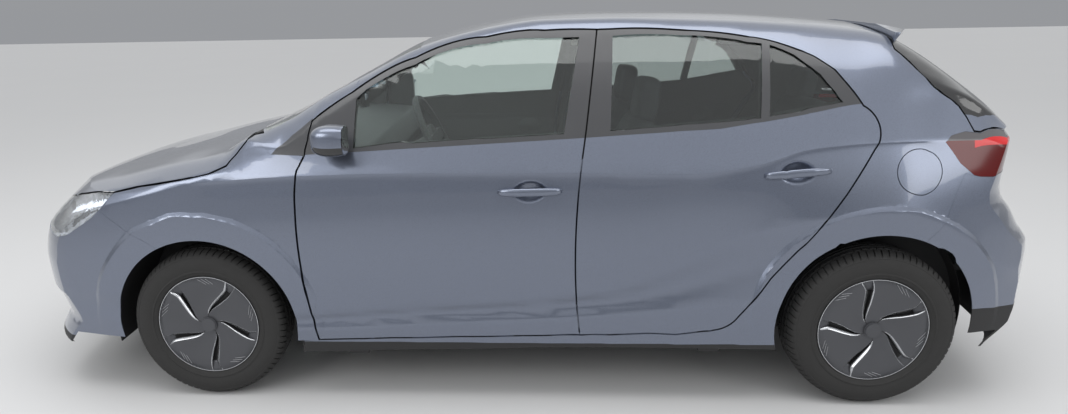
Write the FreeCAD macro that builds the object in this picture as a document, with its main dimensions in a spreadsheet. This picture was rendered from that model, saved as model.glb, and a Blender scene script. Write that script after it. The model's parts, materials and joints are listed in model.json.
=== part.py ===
# Five-door hatchback car, in millimetres, as separate panels, glass, lamps, cabin and running gear.
# X runs rearward, Y to the car's right and Z up. The origin is on the ground, midway along the body.
import FreeCAD, Part
import math
import os
import Sketcher
from FreeCAD import Placement, Rotation, Vector

doc = FreeCAD.newDocument("Hatchback")

# Driving dimensions: name, value in millimetres (degrees where the name ends in angle).
SIZES = (
    ("wheelbase", 2570.0),
    ("front_overhang", 838.0),
    ("rear_overhang", 705.0),
    ("body_half_width", 898.0),
    ("roof_height", 1486.0),
    ("door_side_radius", 1750.0),
    ("side_glass_radius", 2000.0),
    ("panel_gap", 6.0),
    ("skin_thickness", 5.0),
    ("door_thickness", 82.0),
    ("window_frame_depth", 40.0),
    ("side_wall_thickness", 98.0),
    ("pillar_depth", 58.0),
    ("door_flange_width", 34.0),
    ("door_seat_depth", 14.0),
    ("roof_thickness", 22.0),
    ("glass_thickness", 4.0),
    ("glass_recess", 6.0),
    ("bumper_thickness", 6.0),
    ("bonnet_thickness", 14.0),
    ("tailgate_thickness", 34.0),
    ("lamp_depth", 60.0),
    ("arch_radius", 366.0),
    ("arch_rise", 5.0),
    ("rear_arch_rise", 14.0),
    ("liner_radius", 387.0),
    ("liner_thickness", 3.0),
    ("front_liner_wall", 490.0),
    ("rear_liner_wall", 632.0),
    ("tyre_radius", 310.5),
    ("tyre_width", 195.0),
    ("tyre_bead_radius", 203.0),
    ("rim_width", 168.0),
    ("wheel_centre_half_track", 774.5),
    ("disc_radius", 128.0),
    ("hub_radius", 32.0),
    ("fit_clearance", 0.3),
    ("ball_joint_half_track", 724.0),
    ("ball_joint_height", 175.0),
    ("ball_joint_radius", 16.0),
    ("strut_top_half_track", 590.0),
    ("strut_top_height", 850.0),
    ("strut_split_height", 640.0),
    ("strut_radius", 20.0),
    ("spring_radius", 52.0),
    ("door_hinge_setback", 28.0),
    ("door_hinge_depth", 17.0),
    ("door_hinge_radius", 6.0),
    ("door_swing_room", 38.0),
    ("bonnet_hinge_half_span", 707.0),
    ("tailgate_hinge_half_span", 207.0),
    ("hinge_plate_width", 14.0),
    ("mirror_half_reach", 985.0),
    ("fuel_flap_radius", 80.0),
    ("floor_height", 212.0),
    ("rear_floor_height", 376.0),
    ("boot_floor_height", 500.0),
    ("floor_thickness", 24.0),
    ("tunnel_half_width", 110.0),
    ("seat_half_spacing", 350.0),
    ("seat_width", 500.0),
    ("seat_height", 545.0),
    ("steering_wheel_radius", 182.0),
    ("axle_beam_radius", 42.0),
    ("exhaust_pipe_radius", 24.0),
    ("tow_socket_radius", 9.0),
    ("tow_hole_radius", 15.0),
)

sheet = doc.addObject("Spreadsheet::Sheet", "Sizes")
for row, (alias, value) in enumerate(SIZES, 1):
    sheet.set("A%d" % row, alias)
    sheet.set("B%d" % row, str(value))
    sheet.setAlias("B%d" % row, alias)
doc.recompute()


def size(alias):
    return float(sheet.get(alias))


# Places along the car that everything else is measured from.
BODY_LENGTH = size("front_overhang") + size("wheelbase") + size("rear_overhang")
NOSE = -BODY_LENGTH / 2
TAIL = BODY_LENGTH / 2
FRONT_AXLE = NOSE + size("front_overhang")
REAR_AXLE = FRONT_AXLE + size("wheelbase")
ANCHORS = {"nose": NOSE, "front": FRONT_AXLE, "rear": REAR_AXLE, "tail": TAIL}
WHEEL_HEIGHT = size("tyre_radius")
FAR = 3000.0
BELOW = -400.0


def along(anchor, offset):
    return ANCHORS[anchor] + offset


# Body sections, one row per station. After the anchor and the offset from it come the sill's height
# and then tuck (how far inside the half width) and height of each feature line, from the sill up:
# lip, hollow, crease, shoulder, belt or bonnet side, cant rail, roof edge, and the height at the middle.
SECTIONS = (
    ("nose", -27, 200, 103, 330, 103, 390, 98, 440, 110, 640, 178, 676, 298, 700, 468, 716, 722),
    ("nose", 123, 200, 116, 330, 118, 395, 113, 440, 128, 690, 183, 745, 278, 775, 458, 800, 812),
    ("front", -565, 200, 83, 330, 86, 392, 78, 440, 86, 755, 130, 808, 248, 838, 448, 855, 865),
    ("front", -365, 200, 46, 320, 50, 380, 40, 430, 48, 800, 70, 847, 208, 880, 433, 900, 908),
    ("front", -165, 200, 30, 310, 34, 370, 22, 410, 26, 850, 40, 884, 178, 925, 418, 945, 952),
    ("front", 0, 198, 28, 300, 32, 350, 18, 390, 21, 889, 26, 912, 163, 958, 408, 978, 985),
    ("front", 95, 197, 26, 298, 30, 340, 16, 375, 22, 898, 30, 935, 153, 985, 398, 1000, 1006),
    ("front", 208, 197, 24, 298, 30, 336, 16, 370, 22, 906, 46, 965, 98, 1040, 248, 1058, 1068),
    ("front", 335, 199, 20, 300, 28, 336, 18, 366, 23, 913, 55, 993, 66, 1018, 183, 1100, 1134),
    ("front", 485, 203, 20, 306, 30, 342, 18, 370, 24, 918, 56, 994, 123, 1128, 218, 1187, 1210),
    ("front", 625, 209, 20, 314, 31, 352, 18, 382, 24, 923, 58, 1000, 169, 1219, 250, 1255, 1283),
    ("front", 845, 216, 20, 328, 33, 369, 18, 399, 22, 926, 63, 1011, 241, 1328, 306, 1360, 1390),
    ("front", 1113, 222, 20, 343, 34, 386, 18, 418, 22, 925, 67, 1026, 288, 1401, 335, 1428, 1451),
    ("front", 1335, 230, 20, 355, 35, 400, 18, 436, 21, 924, 73, 1037, 298, 1418, 344, 1455, 1480),
    ("rear", -985, 233, 20, 373, 36, 425, 17, 470, 21, 921, 80, 1049, 301, 1420, 347, 1457, 1486),
    ("rear", -735, 232, 20, 398, 38, 485, 16, 566, 21, 917, 87, 1061, 295, 1410, 348, 1449, 1484),
    ("rear", -485, 230, 22, 425, 36, 570, 14, 690, 32, 945, 101, 1086, 280, 1386, 348, 1437, 1476),
    ("rear", -285, 228, 24, 430, 32, 610, 12, 742, 58, 998, 116, 1114, 244, 1331, 346, 1422, 1463),
    ("rear", -99, 226, 26, 400, 28, 600, 9, 768, 67, 1015, 135, 1148, 218, 1290, 340, 1402, 1447),
    ("rear", 25, 226, 28, 380, 26, 600, 8, 776, 72, 1020, 141, 1150, 230, 1312, 332, 1382, 1434),
    ("rear", 165, 226, 36, 380, 34, 560, 18, 735, 84, 1022, 160, 1155, 193, 1222, 298, 1306, 1378),
    ("rear", 315, 226, 58, 390, 56, 520, 38, 640, 98, 1020, 156, 1110, 170, 1150, 298, 1204, 1282),
    ("rear", 435, 226, 84, 400, 82, 480, 66, 560, 120, 1000, 163, 1040, 183, 1062, 298, 1112, 1180),
    ("tail", -190, 226, 110, 400, 108, 470, 96, 540, 150, 960, 198, 990, 218, 1003, 298, 1010, 1085),
    ("tail", 20, 226, 190, 400, 190, 470, 190, 540, 200, 800, 240, 830, 260, 840, 298, 850, 870),
)
TABLE_ROOF = 1486.0
CROWN_SHARE = 0.45
LINING_SKIPS = (1, 2, 3)
CORNER_STEPS = 4
MIDDLE_STEPS = 6


def solid_of(shape):
    """The shape as a solid that encloses a positive volume."""
    solid = shape.Solids[0] if len(shape.Solids) == 1 else shape
    if solid.Volume < 0:
        solid = solid.reversed()
    return solid


class Inset:
    """How far a surface lies inside the outer one: at the sides, at the windows and at the top."""

    def __init__(self, side, window, top):
        self.side = side
        self.window = window
        self.top = top


def half_section(row, inset):
    """Feature points of one station from sill to middle, as (half width, height) pairs."""
    width = size("body_half_width")
    lift = size("roof_height") - TABLE_ROOF
    points = [(width - row[3], BELOW if inset.side else row[2])]
    points[0] = (width - row[3] - 12, points[0][1])
    for column in (3, 5, 7, 9, 11):
        points.append((width - row[column], row[column + 1]))
    for column in (13, 15):
        points.append((width - row[column], row[column + 1] + lift))
    points.append((0.0, row[17] + lift))
    depths = (inset.side,) * 5 + (inset.window,) * 2 + (inset.top,) * 2
    moved = []
    for index, (y, z) in enumerate(points):
        before = points[max(index - 1, 0)]
        after = points[min(index + 1, len(points) - 1)]
        if index == len(points) - 1:
            moved.append((0.0, z - depths[index]))
            continue
        run = (after[0] - before[0], after[1] - before[1])
        length = math.hypot(*run)
        normal = (-run[1] / length, run[0] / length)
        moved.append((y + normal[0] * depths[index], z - abs(normal[1]) * depths[index]))
    return moved


def bulged(start, end, radius):
    """Point halfway along an arc of the given radius that bulges away from the car's middle."""
    (y0, z0), (y1, z1) = start, end
    chord = math.hypot(y1 - y0, z1 - z0)
    sag = radius - math.sqrt(radius * radius - chord * chord / 4)
    return ((y0 + y1) / 2 + sag * (z1 - z0) / chord, (z0 + z1) / 2 + sag * (y0 - y1) / chord)


def section_ring(row, inset):
    """Corners of one station, from the right sill over the top to the left sill."""
    x = along(row[0], row[1])
    half = half_section(row, inset)
    right = []
    lined = inset.side > size("door_seat_depth")
    for index, (y, z) in enumerate(half[:-1]):
        if lined and index in LINING_SKIPS:
            continue
        right.append((y, z))
        if index == 3:
            right.append(bulged(half[3], half[4], size("door_side_radius")))
        if index == 5:
            right.append(bulged(half[5], half[6], size("side_glass_radius")))
    edge_y, edge_z = half[7]
    crown = half[8][1] - edge_z
    right.append((edge_y * CROWN_SHARE, edge_z + crown * (1 - CROWN_SHARE ** 2)))
    outline = right + [(-y, z) for y, z in reversed(right)]
    return [Vector(x, y, z) for y, z in outline]


def faceted(rings):
    """Solid skinned with flat facets from each ring of corners to the next."""
    faces = [Part.Face(Part.makePolygon(ring + ring[:1])) for ring in (rings[0], rings[-1])]
    for near, far in zip(rings, rings[1:]):
        for index, corner in enumerate(near):
            step = (index + 1) % len(near)
            quad = [corner, near[step], far[step], far[index]]
            if quad[0].distanceToPoint(quad[2]) > quad[1].distanceToPoint(quad[3]):
                quad = quad[1:] + quad[:1]
            faces.append(Part.Face(Part.makePolygon([quad[0], quad[1], quad[2], quad[0]])))
            faces.append(Part.Face(Part.makePolygon([quad[0], quad[2], quad[3], quad[0]])))
    skin = Part.makeCompound(faces)
    skin.sewShape()
    return solid_of(Part.makeSolid(skin.Shells[0]))


# Plan shape of the nose and tail, one row per height: height, distance of the middle and of the
# lamp line (at 620 or 600 from the middle) from the foremost or rearmost point of the body.
NOSE_LEVELS = (
    (150, 63, 128),
    (206, 11, 75),
    (278, 38, 108),
    (301, 55, 124),
    (343, 43, 113),
    (401, 23, 91),
    (430, 5, 71),
    (549, 0, 63),
    (611, 2, 73),
    (680, 15, 98),
    (735, 38, 148),
    (800, 88, 233),
    (900, 223, 373),
    (1100, 500, 650),
)
TAIL_LEVELS = (
    (150, 140, 195),
    (240, 90, 145),
    (319, 25, 80),
    (384, 5, 71),
    (576, 0, 69),
    (625, 5, 74),
    (678, 40, 113),
    (739, 75, 149),
    (793, 115, 191),
    (838, 128, 202),
    (1005, 122, 193),
    (1047, 140, 219),
    (1100, 100, 170),
    (1600, 0, 60),
)


def arc_points(start, middle, end, steps):
    arc = Part.Arc(start, middle, end).toShape()
    return arc.discretize(Number=steps + 1)[:-1]


def end_level(height, tip, line, line_y, corner, back, direction, inset):
    """Plan outline of one end of the car at one height."""
    outer = size("body_half_width") + 2
    knee_y = line_y + 127 - inset * 0.7
    line_y = line_y - inset * 0.4

    def at(depth, y):
        return Vector(direction * (depth + inset) + (NOSE if direction > 0 else TAIL), y, height)

    reach = line + corner[1]
    knee = line + corner[0]
    ring = arc_points(at(reach, -outer), at(knee, -knee_y), at(line, -line_y), CORNER_STEPS)
    ring += arc_points(at(line, -line_y), at(tip, 0), at(line, line_y), MIDDLE_STEPS)
    ring += arc_points(at(line, line_y), at(knee, knee_y), at(reach, outer), CORNER_STEPS)
    return ring + [at(reach, outer), at(back, outer), at(back, -outer)]


def end_form(levels, line_y, corner, back, direction, inset):
    rings = [end_level(z, tip, line, line_y, corner, back, direction, inset) for z, tip, line in levels]
    if inset:
        rings.insert(0, [p + Vector(0, 0, BELOW - 100 - levels[0][0]) for p in rings[0]])
    return faceted(rings)


BODY_CACHE = {}


def body(first, last, side=0.0, window=0.0, top=0.0):
    """The closed body form from one section to another, or the same form further in by the insets."""
    key = (first, last, side, window, top)
    if key not in BODY_CACHE:
        rows = SECTIONS[first:last + 1]
        form = faceted([section_ring(row, Inset(side, window, top)) for row in rows])
        if first == 0:
            nose = end_form(NOSE_LEVELS, 620, (85, 330), BODY_LENGTH, 1, side)
            form = solid_of(form.common(nose))
        if last == len(SECTIONS) - 1:
            tail = end_form(TAIL_LEVELS, 600, (55, 260), BODY_LENGTH, -1, side)
            form = solid_of(form.common(tail))
        BODY_CACHE[key] = form
    return BODY_CACHE[key]


LAST = len(SECTIONS) - 1
COWL, ROOT, PILLAR, HINGE_END, QUARTER = 6, 7, 8, 19, 16


def wall(first, last, thickness, depth=0.0):
    """The layer of the body form between two depths, open at the bottom."""
    outer = body(first, last, depth, depth, depth) if depth else body(first, last)
    inner = depth + thickness
    return outer.cut(body(first, last, inner, inner, inner))


def outline_wire(points):
    """Closed outline from (x, z) corners; a third item marks a point that an arc passes through."""
    corners = [Vector(p[0], 0, p[1]) for p in points]
    count = len(points)
    edges = []
    index = 0
    while index < count:
        start, step = corners[index], corners[(index + 1) % count]
        if len(points[(index + 1) % count]) == 3:
            edges.append(Part.Arc(start, step, corners[(index + 2) % count]).toShape())
            index += 2
        else:
            edges.append(Part.makeLine(start, step))
            index += 1
    return Part.Wire(edges)


def side_prism(points, grow=0.0, near=-FAR, far=-40.0):
    """Outline in the side view, grown or shrunk, and carried from one Y to another."""
    face = Part.Face(outline_wire(points))
    if grow:
        face = face.makeOffset2D(grow, 0, False, False)
        if face.ShapeType == "Wire":
            face = Part.Face(face)
    face.translate(Vector(0, near, 0))
    return face.extrude(Vector(0, far - near, 0))


def plan_prism(points, grow=0.0):
    """Outline in plan, as (x, y) corners with arcs as in side_prism, carried from the ground up."""
    wire = outline_wire(points)
    wire.rotate(Vector(0, 0, 0), Vector(1, 0, 0), -90)
    face = Part.Face(wire)
    if grow:
        face = face.makeOffset2D(grow, 0, False, False)
        if face.ShapeType == "Wire":
            face = Part.Face(face)
    face.translate(Vector(0, 0, -100))
    return face.extrude(Vector(0, 0, 2000))


def box(x0, x1, y0, y1, z0, z1):
    return Part.makeBox(x1 - x0, y1 - y0, z1 - z0, Vector(x0, y0, z0))


def both_sides(shape):
    return Part.makeCompound([shape, mirrored(shape)])


def mirrored(shape):
    return shape.mirror(Vector(0, 0, 0), Vector(0, 1, 0))


def largest(shape, count=1, smallest=1.0e3):
    solids = [s for s in sorted(shape.Solids, key=lambda s: -abs(s.Volume)) if abs(s.Volume) > smallest]
    solids = solids[:count]
    return solids[0] if len(solids) == 1 else Part.makeCompound(solids)


PARTS = []


def keep(label, shape):
    """Store a finished piece as a document object whose label names it."""
    piece = doc.addObject("Part::Feature", label)
    piece.Label = label
    piece.Shape = shape
    PARTS.append(piece)
    return piece


# Shut lines in the side view. Each panel stands half a gap inside its own line.
GAP = size("panel_gap") / 2
FIT = size("fit_clearance")
F = FRONT_AXLE
R = REAR_AXLE
B_LINE = [(F + 1472, 286), (F + 1450, 560, "arc"), (F + 1464, 928), (F + 1486, 1075), (F + 1533, 1420)]
FRONT_DOOR = B_LINE[:1] + [
    (F + 449, 257), (F + 403, 600, "arc"), (F + 399, 793), (F + 402, 870, "arc"), (F + 412, 936),
    (F + 439, 988), (F + 461, 1113), (F + 590, 1201, "arc"), (F + 756, 1292),
    (F + 934, 1361, "arc"), (F + 1113, 1401), (F + 1320, 1420, "arc"),
] + B_LINE[:0:-1]
REAR_DOOR = B_LINE + [
    (R - 735, 1414, "arc"), (R - 460, 1383), (R - 345, 1354, "arc"), (R - 248, 1315),
    (R - 165, 1243, "arc"), (R - 94, 1142), (R - 42, 1050, "arc"), (R - 63, 997), (R - 158, 840),
    (R - 253, 700), (R - 381, 533), (R - 503, 368), (R - 545, 322, "arc"), (R - 629, 300),
    (R - 734, 291),
]
FRONT_WINDOW = [
    (F + 622, 1012), (F + 628, 1186), (F + 774, 1272, "arc"), (F + 935, 1336), (F + 1114, 1375, "arc"),
    (F + 1293, 1391), (F + 1466, 1393), (F + 1404, 1056), (F + 768, 1024),
]
REAR_WINDOW = [(F + 1573, 1065), (F + 1591, 1395), (R - 685, 1391, "arc"), (R - 432, 1356), (R - 457, 1104)]
QUARTER_WINDOW = [
    (R - 426, 1111), (R - 404, 1352), (R - 311, 1309, "arc"), (R - 241, 1252), (R - 187, 1196),
    (R - 163, 1156),
]
BONNET_SIDE = [
    (F - 319, 853), (F - 224, 873), (F - 102, 894), (F + 15, 914), (F + 75, 928), (F + 138, 951),
    (F + 175, 991), (F + 208, 1041), (F + 222, 1064),
]
LAMP_TOP = [(NOSE - 60, 742), (NOSE + 133, 757), (F - 537, 812), (F - 413, 841)]
BONNET = LAMP_TOP + BONNET_SIDE + [(F + 222, 1400), (NOSE - 60, 1400)]
HEADLAMP = LAMP_TOP + [
    (F - 325, 850), (F - 348, 824), (F - 381, 788), (F - 428, 745), (F - 487, 703), (F - 546, 674),
    (F - 604, 656), (NOSE + 130, 668), (NOSE + 60, 698), (NOSE - 60, 712),
]
FENDER_NOSE = [(F - 383, 774), (F - 283, 697), (F - 167, 643)]
FENDER = FENDER_NOSE + [(F, 400), (F + 340, 249), (F + 450, 254)] + FRONT_DOOR[2:7] + [
    (F + 313, 994), (F + 222, 1054),
] + BONNET_SIDE[-2::-1] + [(F - 348, 824)]
FRONT_BUMPER = LAMP_TOP + [(F - 325, 850), (F - 348, 824)] + FENDER_NOSE + [
    (F, 400), (F - 310, 150), (F - 360, 120), (NOSE - 60, 120),
]
TAIL_LAMP = [
    (R + 184, 1016), (R + 206, 1032), (R + 260, 1044), (R + 404, 1041), (TAIL + 60, 1036),
    (TAIL + 60, 900), (R + 366, 896), (R + 316, 893), (R + 292, 900), (R + 233, 958),
]
BUMPER_EDGE = [(R + 259, 911), (R + 230, 842), (R + 193, 737), (R + 138, 665)]
REAR_BUMPER = BUMPER_EDGE + [
    (R, 400), (R + 300, 200), (R + 350, 165), (TAIL + 60, 150), (TAIL + 60, 893), (R + 292, 897),
]
TAILGATE_TOP = 1047.0
TAILGATE_EDGE = [(R + 55, 1500), (R + 55, 1392), (R + 47, 1325), (R + 157, 1209), (R + 248, 1127)]
TAILGATE = TAILGATE_EDGE + [(R + 292, TAILGATE_TOP), (TAIL + 60, TAILGATE_TOP), (TAIL + 60, 1500)]
TAILGATE_FOOT = 738.0
TAILGATE_HALF_WIDTH = 610.0

# Outlines in plan: screen, roof and the slot between bonnet and screen.
SCREEN_TOP = [(F + 858, 588), (F + 840, 0, "arc"), (F + 858, -588)]
SCREEN = [(F + 262, -712), (F + 125, 0, "arc"), (F + 262, 712)] + SCREEN_TOP
ROOF_END = R + 55 - GAP
ROOF_REAR = [(ROOF_END, 548), (ROOF_END, -548)]
ROOF = SCREEN_TOP[::-1] + [(F + 1113, 557), (F + 1335, 549)] + ROOF_REAR + [(F + 1335, -549), (F + 1113, -557)]
BONNET_REAR = [(F + 208, -820), (F + 178, -600, "arc"), (F + 120, -380), (F + 62, 0, "arc"), (F + 120, 380),
               (F + 178, 600, "arc"), (F + 208, 820)]
BONNET_PLAN = [(NOSE - 60, -950), (F + 208, -950)] + BONNET_REAR + [(F + 208, 950), (NOSE - 60, 950)]
COWL_PLAN = [(F + 40, -735), (F + 258, -735), (F + 125, 0, "arc"), (F + 258, 735), (F + 40, 735)]


def arch_cylinder(axle_x, radius, y0, y1, rise=None):
    height = WHEEL_HEIGHT - size("arch_rise") if rise is None else rise
    return Part.makeCylinder(radius, y1 - y0, Vector(axle_x, y0, height), Vector(0, 1, 0))


FRONT_ARCH_HEIGHT = WHEEL_HEIGHT - size("arch_rise")
REAR_ARCH_HEIGHT = WHEEL_HEIGHT + size("rear_arch_rise")
ARCHES = Part.makeCompound([
    arch_cylinder(F, size("arch_radius"), -FAR, -480, FRONT_ARCH_HEIGHT),
    arch_cylinder(R, size("arch_radius"), -FAR, -480, REAR_ARCH_HEIGHT),
])

# Bonnet hinges: pivot under the cowl, goosenecks that dip below the bonnet's rear edge.
BONNET_PIVOT = (F + 252, 1042)
BONNET_ARM = [
    (F + 246, 1042), (F + 246, 998), (F + 188, 984), (F + 150, 990), (F + 118, 1004), (F + 118, 1016),
    (F + 160, 1016), (F + 188, 1004), (F + 228, 1010), (F + 234, 1042),
]
# Tailgate hinges: pivot under the roof, arms that curl round the roof's rear edge.
TAILGATE_PIVOT = (R + 12, 1408)


def eye(pivot, radius, y0, y1):
    return Part.makeCylinder(radius, y1 - y0, Vector(pivot[0], y0, pivot[1]), Vector(0, 1, 0))


def front_panels():
    skin = size("skin_thickness")
    shell = wall(0, 9, skin)
    fender = shell.common(side_prism(FENDER, -FIT)).cut(ARCHES).cut(side_prism(FRONT_DOOR, GAP + 1.5))
    fender = fender.cut(side_prism(BONNET, GAP).common(plan_prism(BONNET_PLAN, GAP)))
    fender = fender.cut(plan_prism(SCREEN, FIT)).cut(plan_prism(COWL_PLAN))
    seat = size("door_seat_depth")
    tab = wall(7, 10, seat - skin - FIT, skin).common(box(F + 352, F + 386, -FAR, 0, 840, 880))
    fender = largest(largest(fender).fuse(tab))
    keep("fender_left", fender)
    keep("fender_right", mirrored(fender))

    bonnet = wall(0, 8, size("bonnet_thickness"))
    bonnet = bonnet.common(side_prism(BONNET, -GAP, -FAR, FAR)).common(plan_prism(BONNET_PLAN, -GAP))
    bonnet = largest(bonnet)
    half_span = size("bonnet_hinge_half_span")
    arm_y = (-half_span - size("hinge_plate_width") / 2, -half_span + size("hinge_plate_width") / 2)
    arm = side_prism(BONNET_ARM, 0, *arm_y).fuse(eye(BONNET_PIVOT, 8, *arm_y))
    foot = box(F + 118, F + 170, arm_y[0], arm_y[1], 1000, 1060).common(wall(5, 8, 30.0, 5.0))
    arm = arm.fuse(foot).common(body(5, 9, 5.0, 5.0, 5.0))
    keep("bonnet", largest(bonnet.fuse([arm, mirrored(arm)])))

    inner_end = 415.0
    lamp_space = side_prism(HEADLAMP, FIT, -FAR, -inner_end + FIT)
    bonnet_space = side_prism(BONNET, GAP, -FAR, FAR)
    bumper = wall(0, 6, size("bumper_thickness")).common(side_prism(FRONT_BUMPER, -FIT, -FAR, FAR))
    bumper = bumper.cut(ARCHES).cut(mirrored(ARCHES)).cut(lamp_space).cut(mirrored(lamp_space))
    intake = box(NOSE - 60, F - 300, -460, 460, 288, 404)
    upper_slot = box(NOSE - 60, F - 300, -330, 330, 645, 672)
    tow_hole = rod((NOSE - 60, 330, 480), (NOSE + 150, 330, 480), size("tow_hole_radius"))
    keep("front_bumper", largest(bumper.cut(intake).cut(upper_slot).cut(tow_hole).cut(bonnet_space)))

    lamp = wall(0, 5, size("lamp_depth"), 2.0).cut(bonnet_space)
    lamp = largest(lamp.common(side_prism(HEADLAMP, -FIT, -FAR, -inner_end - FIT)))
    keep("headlamps", both_sides(lamp))

    grille = wall(0, 4, 10.0, size("bumper_thickness") + FIT)
    grille = grille.common(box(NOSE - 60, F - 300, -480, 480, 272, 420))
    columns, rows = 12, 3
    pitch_y, pitch_z = 920.0 / columns, 116.0 / rows
    holes = []
    for column in range(columns):
        for row in range(rows):
            y = -460 + column * pitch_y + 6
            z = 288 + row * pitch_z + 6
            holes.append(box(NOSE - 60, F - 300, y, y + pitch_y - 12, z, z + pitch_z - 12))
    keep("lower_grille", largest(grille.cut(Part.makeCompound(holes))))


def bonnet_arm_room():
    """Space under the skin in which the left bonnet hinge's arm turns."""
    outer = size("bonnet_hinge_half_span") + size("hinge_plate_width") / 2 + FIT
    room = box(F + 60, F + 285, -outer, 30 - outer, 930, 1100)
    return room.common(body(5, 10, 8.0, 8.0, 8.0))


def screen_and_roof():
    screen = wall(COWL, 13, size("glass_thickness"), 3.0).common(plan_prism(SCREEN, -0.3))
    keep("windscreen", largest(screen))
    cowl = wall(5, 10, 18.0, 4.0).common(plan_prism(COWL_PLAN, -FIT)).cut(plan_prism(SCREEN, FIT))
    arm_room = bonnet_arm_room()
    cowl = cowl.cut(plan_prism(BONNET_PLAN, GAP)).cut(arm_room).cut(mirrored(arm_room))
    outboard = size("bonnet_hinge_half_span") + size("hinge_plate_width") / 2 + FIT
    slot = box(F + 184, F + 256, -outboard, 30 - outboard, 930, 1100)
    keep("cowl_panel", largest(cowl.cut(slot).cut(mirrored(slot))))
    roof = wall(10, 20, size("roof_thickness")).common(plan_prism(ROOF, -FIT))
    skin = size("skin_thickness")
    hinge_room = box(R - 62, R + 80, -560, 560, 1200, 1600).common(body(10, 20, skin, skin, skin))
    roof = largest(roof.cut(hinge_room))
    outboard = size("tailgate_hinge_half_span") + size("hinge_plate_width") / 2 + FIT
    x, z = TAILGATE_PIVOT
    plate = box(x - 10, x + 10, -outboard - 8, -outboard, z - 8, z + 60).common(body(10, 20, 3.0, 3.0, 3.0))
    keep("roof_panel", largest(roof.fuse([plate, mirrored(plate)])))


# Plan outline of a door hinge's arm from its pin to the pillar; it stays clear of the opening door.
HINGE_ARM = (
    (-2, -4), (6, -1), (10, 12), (8, 32), (-2, 45), (-14, 49), (-44, 49), (-44, 35), (-14, 35), (-2, 29), (-1, 9),
)


def hinge_knuckles(x, y, heights, lower):
    """Knuckles and arms of one door's two hinges, on the pillar (lower) or on the door (upper)."""
    radius = size("door_hinge_radius")
    pieces = []
    for z in heights:
        z0 = z - 30 if lower else z + FIT
        pieces.append(Part.makeCylinder(radius, 30 - (0 if lower else FIT), Vector(x, y, z0)))
        if lower:
            corners = [Vector(x + u, y + v, z0) for u, v in HINGE_ARM]
            pieces.append(Part.Face(Part.makePolygon(corners + corners[:1])).extrude(Vector(0, 0, 30)))
        else:
            pieces.append(box(x, x + 12, y - 3, y + radius, z0, z0 + 30 - FIT))
    return pieces


# Each door's hinge axis, the top of the sill below it, and the heights of its two hinges, where the skin
# bulges far enough over them.
HINGES = {
    "front": (F + 402 + size("door_hinge_setback"), -897 + size("door_hinge_depth"), 256.0, (530.0, 780.0)),
    "rear": (F + 1453 + size("door_hinge_setback"), -896 + size("door_hinge_depth"), 288.0, (610.0, 780.0)),
}


def side_frames():
    skin_region = [
        (F + 350, 140), (F + 350, 249), (F + 453, 254), (F + 470, 300), (F + 470, 980), (F + 439, 988),
        (F + 313, 994), (F + 222, 1054), (F + 222, 1600), (TAIL + 60, 1600), (TAIL + 60, 140),
    ]
    post_region = [(F + 345, 249), (F + 470, 253), (F + 470, 985), (F + 345, 972)]
    doors_out = side_prism(FRONT_DOOR, GAP).fuse(side_prism(REAR_DOOR, GAP))
    inner = size("door_flange_width") / 2
    doors_in = Part.makeCompound([side_prism(FRONT_DOOR, -inner), side_prism(REAR_DOOR, -inner)])
    seat = size("door_seat_depth")
    outer_part = body(ROOT, LAST).common(side_prism(skin_region)).cut(doors_out)
    inner_part = body(ROOT, LAST, seat, seat, seat).common(doors_out.fuse(side_prism(post_region)))
    frame = outer_part.fuse(inner_part.cut(doors_in))
    frame = frame.cut(body(ROOT, LAST, size("side_wall_thickness"), size("pillar_depth"), 30))
    frame = frame.cut(plan_prism(ROOF)).cut(plan_prism(SCREEN)).cut(plan_prism(COWL_PLAN))
    frame = frame.cut(side_prism(BONNET, GAP).common(plan_prism(BONNET_PLAN, GAP)))
    frame = frame.cut(side_prism(TAILGATE, GAP)).cut(side_prism(TAIL_LAMP, FIT))
    frame = frame.cut(side_prism(REAR_BUMPER, FIT)).cut(ARCHES)
    frame = frame.cut(box(F, TAIL + 60, -size("body_half_width") + 210, 0, 0, 600))
    frame = frame.cut(box(R - 100, TAIL + 60, -540, 0, 1200, 1600)).cut(bonnet_arm_room())
    frame = frame.cut(box(R + 330, TAIL + 60, -TAILGATE_HALF_WIDTH - GAP, 0, TAILGATE_FOOT - GAP, 1200))
    room = size("door_swing_room")
    knuckles_left = []
    for x, y, sill_top, heights in HINGES.values():
        frame = frame.cut(Part.makeCylinder(room, 900, Vector(x, y, sill_top)))
        knuckles_left += hinge_knuckles(x, y, heights, True)
    leading = arch_cylinder(F, size("liner_radius") + 5, -FAR, -40)
    pads = [box(x, x + 80, -845, -795, z, z + 24) for x, z in ((F + 560, 188), (R - 640, 212))]
    frame = largest(largest(frame.cut(leading)).fuse(knuckles_left + pads))
    keep("side_frame_right", mirrored(frame))
    flap_axis = Vector(R + 93, -FAR, 916)
    flap_radius = size("fuel_flap_radius")
    column = Part.makeCylinder(flap_radius - 1.5, FAR, flap_axis, Vector(0, 1, 0))
    flap = largest(wall(QUARTER, 22, 4.0).common(column))
    keep("fuel_flap", flap)
    bowl = Part.makeCylinder(flap_radius + 1.5, FAR - 820, flap_axis, Vector(0, 1, 0))
    lug = box(R + 5, R + 21, -FAR, -835, 908, 924).common(body(QUARTER, 22, 4.5, 4.5, 4.5))
    keep("side_frame_left", largest(frame.cut(bowl).fuse(lug)))


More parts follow.
